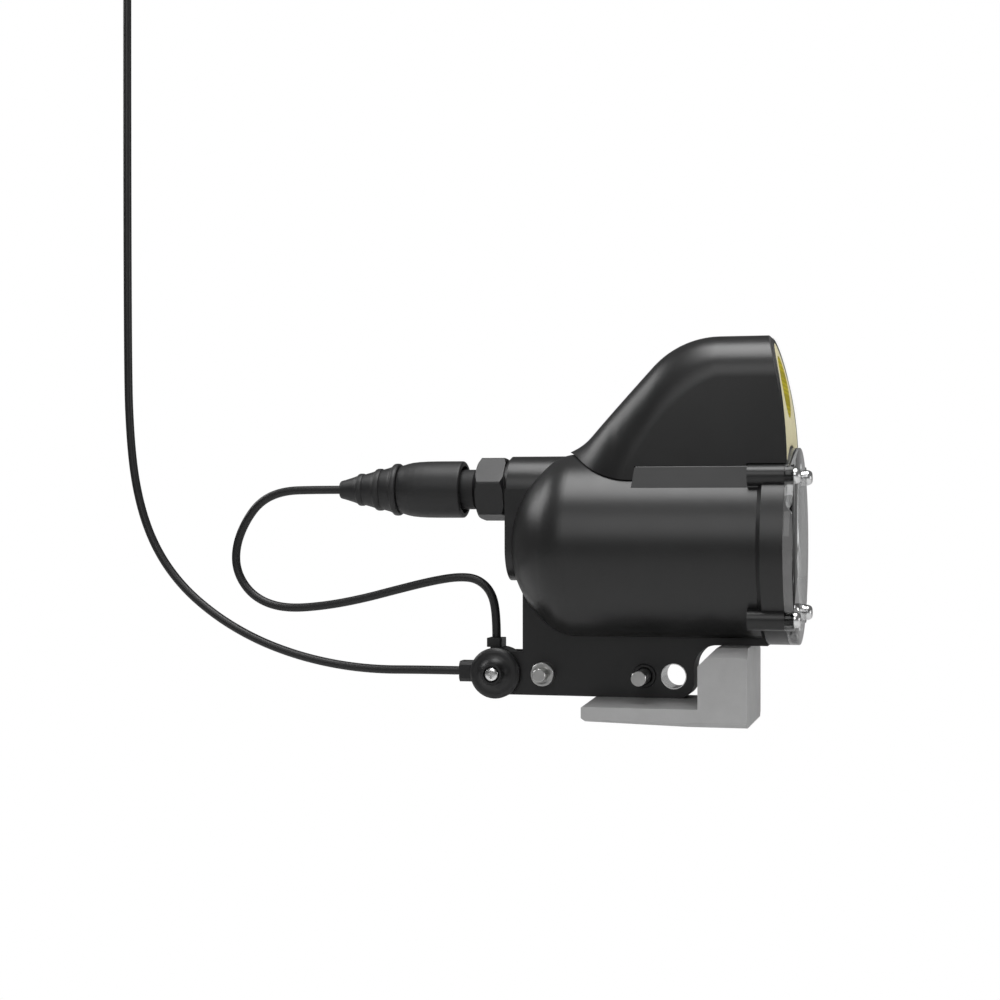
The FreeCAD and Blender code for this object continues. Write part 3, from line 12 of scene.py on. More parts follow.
import bmesh
import bpy
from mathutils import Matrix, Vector

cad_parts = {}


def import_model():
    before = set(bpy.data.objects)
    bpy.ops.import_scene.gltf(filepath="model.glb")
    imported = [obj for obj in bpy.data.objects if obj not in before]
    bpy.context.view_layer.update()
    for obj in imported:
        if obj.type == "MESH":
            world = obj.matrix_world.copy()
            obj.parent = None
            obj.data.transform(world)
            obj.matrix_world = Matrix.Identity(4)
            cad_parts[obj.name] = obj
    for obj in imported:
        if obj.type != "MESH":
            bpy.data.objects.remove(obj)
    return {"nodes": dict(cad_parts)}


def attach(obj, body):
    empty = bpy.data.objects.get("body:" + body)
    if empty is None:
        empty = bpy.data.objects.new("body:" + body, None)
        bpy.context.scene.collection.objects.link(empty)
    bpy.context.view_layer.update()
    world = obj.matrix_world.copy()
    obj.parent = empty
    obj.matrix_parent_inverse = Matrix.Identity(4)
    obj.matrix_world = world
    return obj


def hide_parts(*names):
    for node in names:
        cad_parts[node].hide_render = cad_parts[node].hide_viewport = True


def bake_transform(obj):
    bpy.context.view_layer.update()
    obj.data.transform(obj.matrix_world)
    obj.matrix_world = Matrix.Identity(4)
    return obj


logging.basicConfig(level=logging.INFO, format="%(message)s")
LOG = logging.getLogger("camera_scene")

MM = 0.001
EYE_BEHIND = 398.6
EYE_HEIGHT = 366.0

# Widest miss at which two places in millimetres still count as the same
CLOSE = 0.01

Colour = tuple[float, float, float]
Route = list[tuple[float, float]]


def place(x: float, y: float, z: float) -> Vector:
    """Turns millimetres about the window seat's centre into the row's own metres.

    Args:
        x: distance in front of the window seat.
        y: distance to the left of the view's middle plane.
        z: height above the optical axis.

    Returns:
        The point in the row frame.
    """
    return Vector(((x + EYE_BEHIND) * MM, y * MM, (z - EYE_HEIGHT) * MM))


def unplace(point: Vector) -> Vector:
    """Turns a point in the row's own metres back into millimetres about the window seat."""
    return Vector((point.x / MM - EYE_BEHIND, point.y / MM, point.z / MM + EYE_HEIGHT))


class Body(Enum):
    """The three bodies of the object that move against each other."""

    CABLE = "cable_side"
    CAMERA = "camera"
    SLEEVE = "sleeve"


class Effect(Enum):
    """Surface effects that more than one finish uses."""

    GRAIN = "moulded_grain"
    MOTTLE = "cloudy_colour"
    BRUSH = "brushed_lines"


class EffectGroups:
    """Builds each shared surface effect once, as a node group that finishes place with their own values."""

    def __init__(self) -> None:
        """Makes the groups."""
        self.groups: dict[Effect, bpy.types.NodeTree] = {
            Effect.GRAIN: self._grain(),
            Effect.MOTTLE: self._mottle(),
            Effect.BRUSH: self._brush(),
        }

    @staticmethod
    def _start(name: str, inputs: dict[str, float], outputs: list[str]) -> bpy.types.NodeTree:
        """Makes an empty group with named sockets.

        Args:
            name: the group's name.
            inputs: name and default of each number that goes in.
            outputs: name of each number that comes out.

        Returns:
            The group.
        """
        group = bpy.data.node_groups.new(name, "ShaderNodeTree")
        group.interface.new_socket("Place", in_out="INPUT", socket_type="NodeSocketVector")
        for label, value in inputs.items():
            socket = group.interface.new_socket(label, in_out="INPUT", socket_type="NodeSocketFloat")
            socket.default_value = value
        for label in outputs:
            group.interface.new_socket(label, in_out="OUTPUT", socket_type="NodeSocketFloat")
        group.nodes.new("NodeGroupInput").name = "Ins"
        group.nodes.new("NodeGroupOutput").name = "Outs"
        return group

    @staticmethod
    def _noise(
        group: bpy.types.NodeTree, scale: str, detail: float, roughness: float
    ) -> bpy.types.ShaderNodeTexNoise:
        """Adds a noise that reads the group's place and one of its scales."""
        noise = group.nodes.new("ShaderNodeTexNoise")
        noise.inputs["Detail"].default_value = detail
        noise.inputs["Roughness"].default_value = roughness
        ins = group.nodes["Ins"]
        group.links.new(ins.outputs["Place"], noise.inputs["Vector"])
        group.links.new(ins.outputs[scale], noise.inputs["Scale"])
        return noise

    @staticmethod
    def _around(
        group: bpy.types.NodeTree, value: bpy.types.NodeSocket, spread: str, middle: str
    ) -> bpy.types.Node:
        """Turns a 0 to 1 value into one that swings about a middle by a spread."""
        ins = group.nodes["Ins"]
        centred = group.nodes.new("ShaderNodeMath")
        centred.operation = "SUBTRACT"
        centred.inputs[1].default_value = 0.5
        group.links.new(value, centred.inputs[0])
        swung = group.nodes.new("ShaderNodeMath")
        swung.operation = "MULTIPLY_ADD"
        group.links.new(centred.outputs[0], swung.inputs[0])
        group.links.new(ins.outputs[spread], swung.inputs[1])
        group.links.new(ins.outputs[middle], swung.inputs[2])
        return swung

    def _grain(self) -> bpy.types.NodeTree:
        """Fine grain of a moulded surface, as a height and an uneven roughness."""
        inputs = {"Fine": 2400.0, "Coarse": 90.0, "Roughness": 0.4, "Spread": 0.1}
        group = self._start(Effect.GRAIN.value, inputs, ["Height", "Roughness"])
        fine = self._noise(group, "Fine", 2.0, 0.6)
        coarse = self._noise(group, "Coarse", 3.0, 0.55)
        uneven = self._around(group, coarse.outputs["Fac"], "Spread", "Roughness")
        outs = group.nodes["Outs"]
        group.links.new(fine.outputs["Fac"], outs.inputs["Height"])
        group.links.new(uneven.outputs[0], outs.inputs["Roughness"])
        return group

    def _mottle(self) -> bpy.types.NodeTree:
        """Cloudy patches, as a mask between two colours."""
        group = self._start(Effect.MOTTLE.value, {"Scale": 60.0, "Spread": 1.0, "Middle": 0.5}, ["Mask"])
        clouds = self._noise(group, "Scale", 5.0, 0.62)
        swung = self._around(group, clouds.outputs["Fac"], "Spread", "Middle")
        swung.use_clamp = True
        group.links.new(swung.outputs[0], group.nodes["Outs"].inputs["Mask"])
        return group

    def _brush(self) -> bpy.types.NodeTree:
        """Long fine lines round a turned piece, as a height and a roughness."""
        inputs = {"Along": 30.0, "Across": 1800.0, "Roughness": 0.3, "Spread": 0.16}
        group = self._start(Effect.BRUSH.value, inputs, ["Height", "Roughness"])
        ins = group.nodes["Ins"]
        split = group.nodes.new("ShaderNodeSeparateXYZ")
        group.links.new(ins.outputs["Place"], split.inputs[0])
        joined = group.nodes.new("ShaderNodeCombineXYZ")
        for axis, scale in (("X", "Along"), ("Y", "Across"), ("Z", "Along")):
            stretched = group.nodes.new("ShaderNodeMath")
            stretched.operation = "MULTIPLY"
            group.links.new(split.outputs[axis], stretched.inputs[0])
            group.links.new(ins.outputs[scale], stretched.inputs[1])
            group.links.new(stretched.outputs[0], joined.inputs[axis])
        lines = group.nodes.new("ShaderNodeTexNoise")
        lines.inputs["Scale"].default_value = 1.0
        lines.inputs["Detail"].default_value = 3.0
        group.links.new(joined.outputs[0], lines.inputs["Vector"])
        uneven = self._around(group, lines.outputs["Fac"], "Spread", "Roughness")
        outs = group.nodes["Outs"]
        group.links.new(lines.outputs["Fac"], outs.inputs["Height"])
        group.links.new(uneven.outputs[0], outs.inputs["Roughness"])
        return group


class MaterialBench:
    """One material under construction: its shader and the nodes that feed it."""

    def __init__(self, name: str, effects: EffectGroups) -> None:
        """Starts a material with its shader.

        Args:
            name: the material's name.
            effects: the shared effects that it may place.
        """
        self.effects = effects
        self.material = bpy.data.materials.new(name)
        self.material.use_nodes = True
        self.tree = self.material.node_tree
        self.shader = self.tree.nodes["Principled BSDF"]
        self.where = self.tree.nodes.new("ShaderNodeTexCoord").outputs["Object"]

    def set(self, **values: object) -> None:
        """Sets plain shader sockets, named with underscores for spaces."""
        for label, value in values.items():
            self.shader.inputs[label.replace("_", " ")].default_value = value

    def place_effect(self, effect: Effect, **values: float) -> bpy.types.Node:
        """Places a shared effect with its own values and returns its node."""
        node = self.tree.nodes.new("ShaderNodeGroup")
        node.node_tree = self.effects.groups[effect]
        self.tree.links.new(self.where, node.inputs["Place"])
        for label, value in values.items():
            node.inputs[label].default_value = value
        return node

    def feed(self, source: bpy.types.NodeSocket, label: str) -> None:
        """Links a value to one of the shader's sockets."""
        self.tree.links.new(source, self.shader.inputs[label])

    def two_colours(
        self, mask: bpy.types.NodeSocket, low: Colour, high: Colour
    ) -> bpy.types.NodeSocket:
        """Mixes two colours by a mask and returns the mixed colour."""
        mix = self.tree.nodes.new("ShaderNodeMix")
        mix.data_type = "RGBA"
        mix.inputs["A"].default_value = (*low, 1.0)
        mix.inputs["B"].default_value = (*high, 1.0)
        self.tree.links.new(mask, mix.inputs["Factor"])
        return mix.outputs["Result"]

    def bump(self, height: bpy.types.NodeSocket, strength: float, distance: float) -> None:
        """Feeds a height into the shader's normal.

        Args:
            height: the height from 0 to 1.
            strength: how strongly it shades.
            distance: its depth in metres.
        """
        bump = self.tree.nodes.new("ShaderNodeBump")
        bump.inputs["Strength"].default_value = strength
        bump.inputs["Distance"].default_value = distance
        self.tree.links.new(height, bump.inputs["Height"])
        self.tree.links.new(bump.outputs["Normal"], self.shader.inputs["Normal"])


@dataclass(frozen=True)
class Moulded:
    """A moulded or coated surface: two near colours, a grain and an uneven gloss."""

    name: str
    dark: Colour
    light: Colour
    roughness: float
    spread: float = 0.08
    grain: float = 2400.0
    depth: float = 0.00004
    strength: float = 0.25
    coat: float = 0.0
    gloss: float = 0.5

    def build(self, effects: EffectGroups) -> bpy.types.Material:
        """Builds the material."""
        bench = MaterialBench(self.name, effects)
        grain = bench.place_effect(
            Effect.GRAIN, Fine=self.grain, Roughness=self.roughness, Spread=self.spread
        )
        cloud = bench.place_effect(Effect.MOTTLE, Scale=45.0)
        bench.feed(bench.two_colours(cloud.outputs["Mask"], self.dark, self.light), "Base Color")
        bench.feed(grain.outputs["Roughness"], "Roughness")
        bench.bump(grain.outputs["Height"], self.strength, self.depth)
        bench.set(Coat_Weight=self.coat, Coat_Roughness=0.12, Specular_IOR_Level=self.gloss)
        return bench.material


@dataclass(frozen=True)
class Turned:
    """A turned or brushed metal surface."""

    name: str
    dark: Colour
    light: Colour
    roughness: float
    spread: float = 0.14
    lines: float = 1800.0

    def build(self, effects: EffectGroups) -> bpy.types.Material:
        """Builds the material."""
        bench = MaterialBench(self.name, effects)
        lines = bench.place_effect(
            Effect.BRUSH, Across=self.lines, Roughness=self.roughness, Spread=self.spread
        )
        cloud = bench.place_effect(Effect.MOTTLE, Scale=160.0)
        bench.feed(bench.two_colours(cloud.outputs["Mask"], self.dark, self.light), "Base Color")
        bench.feed(lines.outputs["Roughness"], "Roughness")
        bench.bump(lines.outputs["Height"], 0.15, 0.00002)
        bench.set(Metallic=1.0)
        return bench.material


@dataclass(frozen=True)
class CastWeight:
    """The cast and coated grey weight: cloudy grey with a coarse grain."""

    name: str
    dark: Colour
    light: Colour

    def build(self, effects: EffectGroups) -> bpy.types.Material:
        """Builds the material."""
        bench = MaterialBench(self.name, effects)
        cloud = bench.place_effect(Effect.MOTTLE, Scale=38.0, Spread=1.5)
        grain = bench.place_effect(Effect.GRAIN, Fine=900.0, Coarse=120.0, Roughness=0.5, Spread=0.2)
        bench.feed(bench.two_colours(cloud.outputs["Mask"], self.dark, self.light), "Base Color")
        bench.feed(grain.outputs["Roughness"], "Roughness")
        bench.bump(grain.outputs["Height"], 0.45, 0.00012)
        bench.set(Metallic=0.35)
        return bench.material


@dataclass(frozen=True)
class Clear:
    """Clear plastic or glass with a faintly uneven gloss, and painted shade that darkens its rim.

    The painted shade starts at a radius about the optical axis, in metres.
    """

    name: str
    tint: Colour
    index: float
    roughness: float = 0.01
    rim: float = 1.0
    rim_blend: float = 0.3 * MM
    rim_painted_shade: Colour = (0.1, 0.1, 0.1)

    def build(self, effects: EffectGroups) -> bpy.types.Material:
        """Builds the material."""
        bench = MaterialBench(self.name, effects)
        grain = bench.place_effect(Effect.GRAIN, Coarse=60.0, Roughness=self.roughness, Spread=0.015)
        bench.feed(grain.outputs["Roughness"], "Roughness")
        across = bench.tree.nodes.new("ShaderNodeVectorMath")
        across.operation = "MULTIPLY_ADD"
        across.inputs[1].default_value = (0.0, 1.0, 1.0)
        across.inputs[2].default_value = (0.0, 0.0, EYE_HEIGHT * MM)
        bench.tree.links.new(bench.where, across.inputs[0])
        radius = bench.tree.nodes.new("ShaderNodeVectorMath")
        radius.operation = "LENGTH"
        bench.tree.links.new(across.outputs[0], radius.inputs[0])
        # Painted shade: past the rim radius the base colour turns dark, so light through the pane's edge
        # comes out darkened.
        edge = bench.tree.nodes.new("ShaderNodeMapRange")
        edge.inputs["From Min"].default_value = self.rim - self.rim_blend
        edge.inputs["From Max"].default_value = self.rim
        bench.tree.links.new(radius.outputs["Value"], edge.inputs["Value"])
        bench.feed(bench.two_colours(edge.outputs["Result"], self.tint, self.rim_painted_shade), "Base Color")
        bench.set(IOR=self.index, Transmission_Weight=1.0)
        return bench.material


@dataclass(frozen=True)
class Cover:
    """A thin clear cover bonded to what lies behind it, so it shows a faint gloss and no refraction."""

    name: str
    haze: Colour
    density: float

    def build(self, effects: EffectGroups) -> bpy.types.Material:
        """Builds the material."""
        bench = MaterialBench(self.name, effects)
        grain = bench.place_effect(Effect.GRAIN, Coarse=50.0, Roughness=0.1, Spread=0.08)
        cloud = bench.place_effect(Effect.MOTTLE, Scale=30.0, Spread=0.12, Middle=self.density)
        bench.feed(grain.outputs["Roughness"], "Roughness")
        bench.feed(cloud.outputs["Mask"], "Alpha")
        bench.set(Base_Color=(*self.haze, 1.0), IOR=1.49, Specular_IOR_Level=0.12)
        return bench.material


@dataclass(frozen=True)
class Phosphor:
    """The lamp's yellow light source with its grid of small chips."""

    name: str
    gap: Colour
    chip: Colour
    pitch: float = 2.6 * MM
    chip_edge: float = 0.34
    gap_start: float = 0.5

    def build(self, effects: EffectGroups) -> bpy.types.Material:
        """Builds the material."""
        bench = MaterialBench(self.name, effects)
        cells = bench.tree.nodes.new("ShaderNodeTexVoronoi")
        cells.inputs["Scale"].default_value = 1.0 / self.pitch
        cells.inputs["Randomness"].default_value = 0.0
        bench.tree.links.new(bench.where, cells.inputs["Vector"])
        edge = bench.tree.nodes.new("ShaderNodeMapRange")
        edge.inputs["From Min"].default_value = self.chip_edge
        edge.inputs["From Max"].default_value = self.gap_start
        bench.tree.links.new(cells.outputs["Distance"], edge.inputs["Value"])
        bench.feed(bench.two_colours(edge.outputs["Result"], self.chip, self.gap), "Base Color")
        bench.bump(edge.outputs["Result"], 0.3, 0.0002)
        bench.set(Roughness=0.6, Specular_IOR_Level=0.05)
        return bench.material


class Finish(Enum):
    """Every finish on the object, under the name of its material."""

    BODY = Moulded("satin_black_body", (0.012, 0.012, 0.0122), (0.018, 0.018, 0.0182), 0.34, 0.06)
    HOOD = Moulded("satin_black_hood", (0.010, 0.010, 0.0102), (0.014, 0.014, 0.0142), 0.34, 0.05)
    MODULE = Moulded("anti_glare_black", (0.006, 0.006, 0.0065), (0.010, 0.010, 0.0105), 0.62, 0.1)
    CLAMP = Moulded("clamp_black", (0.008, 0.008, 0.0085), (0.013, 0.013, 0.0135), 0.42, 0.1)
    KEEL = Moulded("keel_black", (0.009, 0.009, 0.0095), (0.013, 0.013, 0.0135), 0.4, 0.08)
    BOOT = Moulded("boot_rubber", (0.011, 0.011, 0.0115), (0.017, 0.017, 0.0175), 0.48, 0.12, 1500.0, 0.00008)
    CABLE = Moulded("cable_jacket", (0.006, 0.006, 0.0065), (0.011, 0.011, 0.0115), 0.42, 0.12)
    SEAL = Moulded("seal_rubber", (0.012, 0.012, 0.012), (0.022, 0.022, 0.022), 0.6, 0.1)
    TRAY = Moulded("cream_tray", (0.88, 0.80, 0.50), (0.97, 0.91, 0.62), 0.6, 0.08, gloss=0.05)
    BOARD = Moulded(
        "circuit_board", (0.008, 0.09, 0.035), (0.012, 0.14, 0.05), 0.35, 0.08, 700.0, 0.0002, 0.3, 0.4
    )
    STEEL = Turned("stainless", (0.52, 0.52, 0.51), (0.66, 0.66, 0.65), 0.3)
    BRIGHT = Turned("polished_stainless", (0.80, 0.80, 0.80), (0.92, 0.92, 0.92), 0.24, 0.08)
    BRASS = Turned("plain_brass", (0.62, 0.44, 0.16), (0.74, 0.56, 0.24), 0.3)
    SINK = Turned("heat_sink", (0.42, 0.42, 0.43), (0.54, 0.54, 0.55), 0.36)
    WEIGHT = CastWeight("cast_grey", (0.45, 0.45, 0.45), (0.58, 0.58, 0.58))
    # The window's rim is painted dark as shade beyond 54.2 mm from the axis.
    WINDOW = Clear("clear_window", (0.93, 0.95, 0.95), 1.36, rim=54.2 * MM)
    OPTIC = Clear("coated_optic", (0.72, 0.80, 0.88), 1.6)
    COVER = Cover("clear_cover", (0.7, 0.7, 0.66), 0.025)
    LIGHT = Phosphor("light_source", (0.40, 0.33, 0.008), (0.66, 0.56, 0.015))


# Which finish each solid wears, also the solids that a new piece stands for
DRESS: dict[str, Finish] = {
    "housing": Finish.BODY,
    "window_plate": Finish.WINDOW,
    "window_seal": Finish.SEAL,
    "window_sleeves": Finish.BRIGHT,
    "window_screws": Finish.BRIGHT,
    "inner_bezel": Finish.MODULE,
    "lens_barrel": Finish.MODULE,
    "front_element": Finish.OPTIC,
    "lens_lock_ring": Finish.MODULE,
    "chassis_ring": Finish.MODULE,
    "sensor_board": Finish.BOARD,
    "image_sensor": Finish.MODULE,
    "main_board": Finish.BOARD,
    "board_spacers": Finish.BRASS,
    "lamp_hood": Finish.HOOD,
    "lamp_lens": Finish.COVER,
    "lamp_seal": Finish.SEAL,
    "lamp_reflector": Finish.TRAY,
    "led_emitter": Finish.LIGHT,
    "led_board": Finish.SINK,
    "lamp_heatsink": Finish.SINK,
    "lamp_driver": Finish.BOARD,
    "driver_spacers": Finish.BRASS,
    "wire_grommet": Finish.SEAL,
    "hood_screws": Finish.STEEL,
    "hood_nuts": Finish.STEEL,
    "bulkhead_nut": Finish.CLAMP,
    "bulkhead_seal": Finish.SEAL,
    "receptacle": Finish.MODULE,
    "plug_body": Finish.MODULE,
    "plug_contacts": Finish.BRASS,
    "locking_sleeve": Finish.BOOT,
    "strain_relief_boot": Finish.BOOT,
    "keel": Finish.KEEL,
    "keel_screws": Finish.STEEL,
    "keel_bush": Finish.BRIGHT,
    "tail_pin": Finish.STEEL,
    "nose_pin": Finish.STEEL,
    "pin_collar": Finish.CLAMP,
    "pin_nuts": Finish.STEEL,
    "weight": Finish.WEIGHT,
    "weight_screws": Finish.STEEL,
    "clamp_disc_near": Finish.CLAMP,
    "clamp_disc_far": Finish.CLAMP,
    "clamp_core": Finish.CLAMP,
    "cable_glands": Finish.CLAMP,
    "clamp_screw": Finish.BRIGHT,
    "clamp_nut": Finish.STEEL,
    "suspension_eye": Finish.STEEL,
}


class Wardrobe:
    """Holds one built material for each finish and puts finishes on pieces."""

    def __init__(self) -> None:
        """Builds every finish."""
        effects = EffectGroups()
        self.materials: dict[Finish, bpy.types.Material] = {
            finish: finish.value.build(effects) for finish in Finish
        }

    def dress(self, piece: bpy.types.Object, finish: Finish) -> None:
        """Gives a piece one finish all over."""
        piece.data.materials.clear()
        piece.data.materials.append(self.materials[finish])

    def dress_carried_pieces(self) -> None:
        """Gives every piece that is carried over its own finish."""
        for name, finish in DRESS.items():
            node = bpy.data.objects[name]
            for slot in node.material_slots:
                slot.material = self.materials[finish]
            if not node.material_slots:
                node.data.materials.append(self.materials[finish])
            LOG.info("%s wears %s", name, finish.value.name)


@dataclass
class Hood:
    """The hood's moulded shell: flat sides, rounded upper edges and a rear slope down to the housing.

    Sizes are in millimetres, and distances run forward from the window seat.
    """

    wardrobe: Wardrobe
    half_width: float = 38.0
    top: float = 116.2
    foot: float = 30.0
    edge_round: float = 24.0
    slope_edge_round: float = 31.0
    flat_end: float = -37.8
    shoulder_round: float = 50.5
    slope_degrees: float = 47.4
    slope_end: float = -110.0
    foot_round: float = 30.0
    closing: float = -83.0
    tail: float = -124.5
    tail_gap: float = 0.5
    tail_fullness: float = 2.3
    least_side: float = 2.0
    stations: int = 44
    station_spread: float = 0.85
    block_front: float = 8.0
    wall: float = 3.0
    front_curve: float = 240.2
    front_centre: tuple[float, float] = (-240.1, 45.0)
    arch_rise: float = 55.0
    floor: float = 55.8
    room_front: float = 10.0
    room_rear: float = -33.8
    driver_room: tuple[float, float, float, float] = (-78.15, -29.8, 28.0, 76.0)
    saddle: float = 44.2
    saddle_rear: float = -82.15
    tube: float = 52.8
    flange: float = 55.0
    flange_rear: float = -13.0
    lug_spacing: float = 38.68
    lug: float = 6.8
    lug_rear: float = -20.8
    cut_front: float = 30.0
    cut_rear: float = -140.0
    cut_side: float = 60.0
    smooth_degrees: float = 28.0

    def _height(self, x: float) -> float:
        """Gives the height of the hood's top at a distance: flat, shoulder, slope and foot."""
        slope = math.radians(self.slope_degrees)
        slope_start = self.flat_end - self.shoulder_round * math.sin(slope)
        if x >= self.flat_end:
            return self.top
        if x >= slope_start:
            drop = math.sqrt(self.shoulder_round**2 - (x - self.flat_end) ** 2)
            return self.top - self.shoulder_round + drop
        start_height = self.top - self.shoulder_round * (1 - math.cos(slope))
        if x >= self.slope_end:
            return start_height + (x - slope_start) * math.tan(slope)
        end_height = start_height + (self.slope_end - slope_start) * math.tan(slope)
        foot_end = self.slope_end - self.foot_round * math.sin(slope)
        low = end_height - self.foot_round * (1 - math.cos(slope))
        return low + self.foot_round - math.sqrt(self.foot_round**2 - (x - foot_end) ** 2)

    def _half(self, x: float) -> float:
        """Gives half the hood's width at a distance, closing in an oval at its tail."""
        if x >= self.closing:
            return self.half_width
        share = (x - self.closing) / (self.tail - self.tail_gap - self.closing)
        return self.half_width * (1 - share**self.tail_fullness) ** 0.5

    def _rise(self, x: float) -> float:
        """Gives how far the rounded upper edge reaches down at a distance."""
        flat = self.edge_round
        sloped = self.slope_edge_round / math.cos(math.radians(self.slope_degrees))
        share = min(max((self.flat_end - x) / self.shoulder_round, 0.0), 1.0)
        wanted = flat + (sloped - flat) * share
        return min(wanted, self._height(x) - self.foot - self.least_side)

    def _places(self) -> list[float]:
        """Lists where the sections behind the front one stand, from the flat top's end to the tail."""
        run = self.tail - self.flat_end
        shares = [(step / self.stations) ** self.station_spread for step in range(1, self.stations + 1)]
        return [self.flat_end, *(self.flat_end + run * share for share in shares)]

    @staticmethod
    def _pick(piece: bpy.types.Object, wanted: Callable[[Vector], bool]) -> None:
        """Narrows an edit mode selection to the vertices that pass a test of their place in millimetres."""
        mesh = bmesh.from_edit_mesh(piece.data)
        for vertex in mesh.verts:
            if vertex.select and not wanted(unplace(piece.matrix_world @ vertex.co)):
                vertex.select = False
        mesh.select_mode = {"VERT"}
        mesh.select_flush_mode()
        bmesh.update_edit_mesh(piece.data)

    def _section(
        self, name: str, x: float, half: float, top: float, rise: float, corner: float, foot: float
    ) -> bpy.types.Object:
        """Starts a block with a closed section: a flat foot, flat sides and a top with rounded edges.

        Args:
            name: the piece's name.
            x: the section's distance.
            half: half its width.
            top: the height of its top.
            rise: how far the rounded edges reach down.
            corner: how far they reach inwards.
            foot: the height of its foot.

        Returns:
            The piece, in edit mode with all of it selected.
        """
        bpy.ops.object.select_all(action="DESELECT")
        centre = place(x, 0.0, top - rise)
        bpy.ops.mesh.primitive_circle_add(
            vertices=96,
            radius=corner * MM,
            fill_type="NGON",
            location=centre,
            rotation=(0.0, math.pi / 2, 0.0),
        )
        piece = bpy.context.object
        piece.name = name
        bpy.ops.object.transform_apply(location=True, rotation=True, scale=True)
        bpy.ops.object.mode_set(mode="EDIT")
        bpy.ops.mesh.select_mode(type="VERT")
        for side in (1.0, -1.0):
            bpy.ops.mesh.select_all(action="SELECT")
            self._pick(piece, lambda at, side=side: at.y * side > CLOSE)
            bpy.ops.transform.translate(value=(0.0, side * (half - corner) * MM, 0.0))
        bpy.ops.mesh.select_all(action="SELECT")
        bpy.ops.transform.resize(value=(1.0, 1.0, rise / corner), center_override=centre)
        self._pick(piece, lambda at: at.z < top - rise - CLOSE)
        bpy.ops.transform.resize(value=(1.0, 1.0, 0.0), center_override=centre)
        bpy.ops.transform.translate(value=(0.0, 0.0, (foot - top + rise) * MM))
        bpy.ops.mesh.select_all(action="SELECT")
        return piece

    def _body(self) -> bpy.types.Object:
        """Draws the section out backwards, changing its width, height and rounding on the way."""
        x, half, top, rise = self.block_front, self.half_width, self.top, self.edge_round
        piece = self._section("hood_shell", x, half, top, rise, self.edge_round, self.foot)
        for station in self._places():
            bpy.ops.mesh.select_all(action="DESELECT")
            mesh = bmesh.from_edit_mesh(piece.data)
            mesh.faces.ensure_lookup_table()
            rear = min(mesh.faces, key=lambda face: face.calc_center_median().x)
            rear.select = True
            mesh.select_flush_mode()
            bmesh.update_edit_mesh(piece.data)
            step = (station - x) * MM
            bpy.ops.mesh.extrude_region_move(TRANSFORM_OT_translate={"value": (step, 0.0, 0.0)})
            new_half, new_top, new_rise = self._half(station), self._height(station), self._rise(station)
            middle = place(station, 0.0, top - rise)
            bpy.ops.transform.resize(value=(1.0, new_half / half, 1.0), center_override=middle)
            self._pick(piece, lambda at, spring=top - rise: at.z > spring - CLOSE)
            bpy.ops.transform.resize(value=(1.0, 1.0, new_rise / rise), center_override=middle)
            shift = (new_top - new_rise) - (top - rise)
            bpy.ops.transform.translate(value=(0.0, 0.0, shift * MM))
            x, half, top, rise = station, new_half, new_top, new_rise
        bpy.ops.mesh.select_all(action="SELECT")
        bpy.ops.mesh.normals_make_consistent(inside=False)
        bpy.ops.object.mode_set(mode="OBJECT")
        return piece

    def _rod(self, name: str, radius: float, low: float, y: float = 0.0, z: float = 0.0) -> bpy.types.Object:
        """Makes a round cutter along the optical axis, from a distance to past the hood's front."""
        high = self.cut_front
        bpy.ops.object.select_all(action="DESELECT")
        bpy.ops.mesh.primitive_cylinder_add(
            vertices=160,
            radius=radius * MM,
            depth=(high - low) * MM,
            location=place((low + high) / 2, y, z),
            rotation=(0.0, math.pi / 2, 0.0),
        )
        bpy.context.object.name = name
        return bpy.context.object

    def _block(self, name: str, low: Vector, high: Vector) -> bpy.types.Object:
        """Makes a square cutter between two corners in millimetres."""
        bpy.ops.object.select_all(action="DESELECT")
        middle = (low + high) / 2
        bpy.ops.mesh.primitive_cube_add(size=1.0, location=place(*middle), scale=(high - low) * MM)
        bpy.context.object.name = name
        return bpy.context.object

    @staticmethod
    def _carve(piece: bpy.types.Object, cutter: bpy.types.Object, operation: str = "DIFFERENCE") -> None:
        """Applies one cutter to a piece and throws the cutter away."""
        bpy.ops.object.select_all(action="DESELECT")
        bpy.context.view_layer.objects.active = piece
        piece.select_set(True)
        carving = piece.modifiers.new("carving", "BOOLEAN")
        carving.operation = operation
        carving.solver = "EXACT"
        carving.object = cutter
        bpy.ops.object.modifier_apply(modifier=carving.name)
        bpy.data.objects.remove(cutter)

    def _front_curve(self) -> bpy.types.Object:
        """Makes the round block whose face is the curve that the hood's front rim follows."""
        bpy.ops.object.select_all(action="DESELECT")
        x, z = self.front_centre
        bpy.ops.mesh.primitive_cylinder_add(
            vertices=512,
            radius=self.front_curve * MM,
            depth=4 * self.half_width * MM,
            location=place(x, 0.0, z),
            rotation=(math.pi / 2, 0.0, 0.0),
        )
        return bpy.context.object

    def _lamp_room(self) -> bpy.types.Object:
        """Makes the arched room behind the lamp's cover."""
        half = self.half_width - self.wall
        room = self._section(
            "lamp_room", self.room_front, half, self.top - self.wall, self.arch_rise, half, self.floor
        )
        depth = (self.room_rear - self.room_front) * MM
        bpy.ops.mesh.extrude_region_move(TRANSFORM_OT_translate={"value": (depth, 0.0, 0.0)})
        bpy.ops.mesh.select_all(action="SELECT")
        bpy.ops.mesh.normals_make_consistent(inside=False)
        bpy.ops.object.mode_set(mode="OBJECT")
        return room

